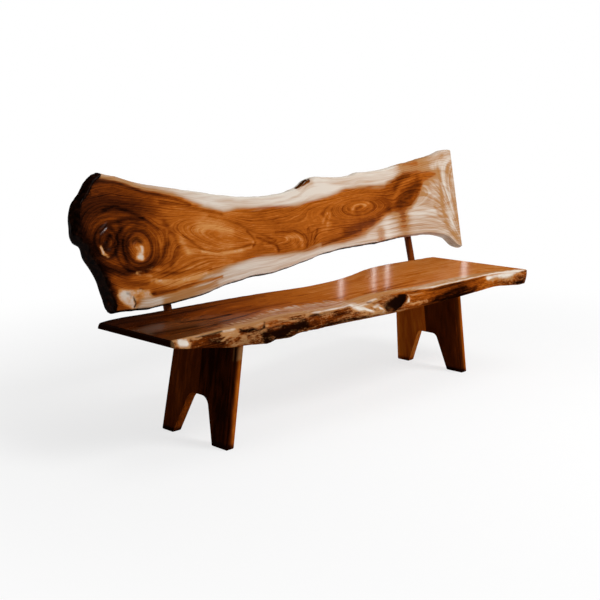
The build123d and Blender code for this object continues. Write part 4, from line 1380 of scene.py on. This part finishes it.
class BENCH_OT_camera(bpy.types.Operator):
    """Set up the camera in front of the bench's left end"""

    bl_idname = "bench.camera"
    bl_label = "Camera"

    def execute(self, context):
        ahead = Vector((
            sin(VIEW_YAW) * cos(VIEW_PITCH), cos(VIEW_YAW) * cos(VIEW_PITCH), sin(VIEW_PITCH),
        ))
        level = Vector((cos(VIEW_YAW), -sin(VIEW_YAW), 0))
        above = level.cross(ahead)
        right = cos(VIEW_ROLL) * level + sin(VIEW_ROLL) * above
        up = cos(VIEW_ROLL) * above - sin(VIEW_ROLL) * level
        optics = bpy.data.cameras.new("camera")
        optics.lens = VIEW_LENS
        optics.shift_x, optics.shift_y = VIEW_SHIFT
        piece = bpy.data.objects.new("camera", optics)
        turned = Matrix((right, up, -ahead)).transposed().to_4x4()
        piece.matrix_world = Matrix.Translation(VIEW_PLACE) @ turned
        context.scene.collection.objects.link(piece)
        context.scene.camera = piece
        return {"FINISHED"}


def glossy_ray(start):
    """One where the light path is seen in a glossy reflection, and zero elsewhere."""
    ray = start.node("LightPath")
    return Socket(start.tree, ray.output.node.outputs["Is Glossy Ray"])


def paper_floor(studio):
    """Floor of pale paper. The camera and reflections see it mostly as a white glow, and wholly so
    a few metres away, so that it has no far edge; other rays see plain paper."""
    corners = np.array([(-1, -1, 0), (1, -1, 0), (1, 1, 0), (-1, 1, 0)]) * FLOOR_HALF
    floor = mesh_object("floor", corners.astype(float), np.array([[0, 1, 2, 3]]), {})
    material, shader, start = new_material("floor_paper", {
        "Roughness": 0.9, "Specular IOR Level": 0.1,
    })
    x, y, z = start.node("TexCoord", out="Object").parts()
    grain = start.vector(x * 9, y * 9, z).noise(detail=2.0)
    pale = studio.floor_colour
    connect(shader, Base_Color=grain.ramp((0.0, shade(pale, 0.98)), (1.0, pale)))
    away = 0.72 + 0.28 * (x * x + y * y).math("SQRT").step(1.1, 2.8)
    seen = (start.node("LightPath") + glossy_ray(start)).limit()
    white = start.node("Emission", {}, {"Color": (1, 1, 1, 1), "Strength": 1.0})
    surface = start.node("MixShader", {}, {
        0: seen * away, 1: Socket(start.tree, shader.outputs[0]), 2: white,
    })
    output = start.tree.nodes["Material Output"]
    start.tree.links.new(surface.output, output.inputs["Surface"])
    floor.data.materials.append(material)
    return floor


def place_lamps(studio):
    """The main lamp, the lamp overhead, and the lamps that only reflections show."""
    lamp("key_lamp", KEY_PLACE, LAMP_TARGET, KEY_SIZE, studio.key_power)
    lamp("top_lamp", TOP_PLACE, LAMP_TARGET, TOP_SIZE, studio.top_power)
    for number, (azimuth, width, strength) in enumerate(STREAKS):
        heading = Vector((sin(radians(azimuth)), cos(radians(azimuth)), 0))
        place = VIEW_PLACE + heading * STREAK_DISTANCE
        place.z = STREAK_MIDDLE
        aim = Vector((VIEW_PLACE.x, VIEW_PLACE.y, place.z))
        power = studio.streak_power * strength * width
        lamp(f"streak_lamp_{number}", place, aim, (width, STREAK_HEIGHT), power, only_gloss=True)
    power = studio.window_power
    lamp("window_lamp", WINDOW_PLACE, WINDOW_TARGET, WINDOW_SIZE, power, only_gloss=True)


def white_world(studio):
    """World that the camera sees as plain white, that reflections see as white below the horizon
    and nearly black above it, and that lights the bench with the strength of the surroundings."""
    world = bpy.data.worlds.new("surroundings")
    world.use_nodes = True
    start = Socket(world.node_tree)
    height = start.node("TexCoord", out="Generated").parts()[2]
    camera = start.node("LightPath")
    glow = height.step(0.08, -0.02) * 0.99 + 0.01
    strength = studio.surroundings + camera * (1 - studio.surroundings)
    strength = strength + glossy_ray(start) * (glow - studio.surroundings)
    background = world.node_tree.nodes["Background"]
    background.inputs["Color"].default_value = (1, 1, 1, 1)
    world.node_tree.links.new(strength.output, background.inputs["Strength"])
    return world


class BENCH_OT_stage(bpy.types.Operator):
    """Set up the pale floor, the lamps and the white surroundings"""

    bl_idname = "bench.stage"
    bl_label = "Floor and lamps"

    def execute(self, context):
        studio = context.scene.bench_studio
        floor = paper_floor(studio)
        place_lamps(studio)
        context.scene.world = white_world(studio)
        context.scene.view_settings.view_transform = "Standard"
        return {"FINISHED"}


# ------------------------------------------------------------------------------------------------
# Settings, panel and run
# ------------------------------------------------------------------------------------------------


def colour_setting(name, description, default):
    """Colour property with the usual limits."""
    return FloatVectorProperty(
        name=name, description=description, subtype="COLOR", size=3, min=0, max=1, default=default
    )


class BenchFinish(bpy.types.PropertyGroup):
    """Colours and gloss of the bench's surfaces"""

    heart_dark: colour_setting("Darkest heartwood", "Colour of the darkest lines", (0.060, 0.011, 0.0015))
    heart_middle: colour_setting("Middle heartwood", "Colour of the brown wood", (0.21, 0.042, 0.003))
    heart_light: colour_setting("Light heartwood", "Colour of the orange wood", (0.43, 0.112, 0.010))
    heart_pale: colour_setting("Palest heartwood", "Colour of the palest bands", (0.58, 0.260, 0.075))
    sapwood: colour_setting("Sapwood", "Colour of the pale wood near the edges", (0.67, 0.60, 0.52))
    sap_stain: colour_setting("Stained sapwood", "Colour of its tan lines and stains", (0.41, 0.20, 0.075))
    bark: colour_setting("Bark", "Colour of the bark and its stains", (0.030, 0.009, 0.004))
    steel: colour_setting("Steel", "Colour of the screws and washers", (0.55, 0.55, 0.56))
    gloss: FloatProperty(
        name="Bare gloss", description="Gloss of the wood under its varnish", subtype="FACTOR",
        min=0, max=1, default=0.0,
    )
    coat: FloatProperty(
        name="Varnish", description="Weight of the varnish coat", subtype="FACTOR",
        min=0, max=1, default=0.35,
    )
    coat_roughness: FloatProperty(
        name="Varnish roughness", description="How far the varnish blurs what it reflects",
        subtype="FACTOR", min=0, max=1, default=0.12,
    )


class BenchEdges(bpy.types.PropertyGroup):
    """Sizes of the worn and natural edges"""

    arris_radius: FloatProperty(
        name="Arris radius", description="Rounding of the sawn arrises", unit="LENGTH",
        min=0, max=0.01, default=0.004,
    )
    relief: FloatProperty(
        name="Edge relief", description="Depth of the natural edges' grooves", unit="LENGTH",
        min=0, max=0.01, default=0.004,
    )


class BenchStudio(bpy.types.PropertyGroup):
    """Light and floor of the studio"""

    floor_colour: colour_setting("Floor", "Colour of the floor", (0.92, 0.92, 0.92))
    surroundings: FloatProperty(
        name="Surroundings", description="Strength of the light from all round",
        min=0, max=1, default=0.34,
    )
    key_power: FloatProperty(
        name="Key lamp", description="Power of the main lamp in watts", min=0, default=135
    )
    top_power: FloatProperty(
        name="Top lamp", description="Power of the lamp overhead in watts", min=0, default=40
    )
    streak_power: FloatProperty(
        name="Streak lamps", description="Power of the narrow lamps behind, in watts a metre of width",
        min=0, default=44,
    )
    window_power: FloatProperty(
        name="Window lamp", description="Power of the strip lamp that the back slab reflects, in watts",
        min=0, default=1.3,
    )


GROUPS = {"bench_finish": BenchFinish, "bench_edges": BenchEdges, "bench_studio": BenchStudio}
OPERATORS = (
    BENCH_OT_seat_slab, BENCH_OT_back_slab, BENCH_OT_legs, BENCH_OT_posts, BENCH_OT_fastenings,
    BENCH_OT_camera, BENCH_OT_stage,
)


class BENCH_PT_panel(bpy.types.Panel):
    """Steps that make the bench, and its settings"""

    bl_idname = "BENCH_PT_panel"
    bl_label = "Live-edge slab bench"
    bl_space_type = "VIEW_3D"
    bl_region_type = "UI"
    bl_category = "Bench"

    def draw(self, context):
        for operator in OPERATORS:
            self.layout.operator(operator.bl_idname)
        for name, group in GROUPS.items():
            box = self.layout.box()
            for key in group.__annotations__:
                box.prop(getattr(context.scene, name), key)


def register():
    """Register the classes, and give the scene its settings."""
    for group in (*GROUPS.values(), *OPERATORS, BENCH_PT_panel):
        bpy.utils.register_class(group)
    for name, group in GROUPS.items():
        setattr(bpy.types.Scene, name, PointerProperty(type=group))


def unregister():
    """Take the settings and the classes away again, the classes that came last first."""
    for name in GROUPS:
        delattr(bpy.types.Scene, name)
    for group in (BENCH_PT_panel, *reversed(OPERATORS), *GROUPS.values()):
        bpy.utils.unregister_class(group)


def main():
    """Register the add-on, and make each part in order."""
    register()
    for operator in OPERATORS:
        getattr(bpy.ops.bench, operator.bl_idname.split(".")[1])()


if __name__ == "__main__":
    main()
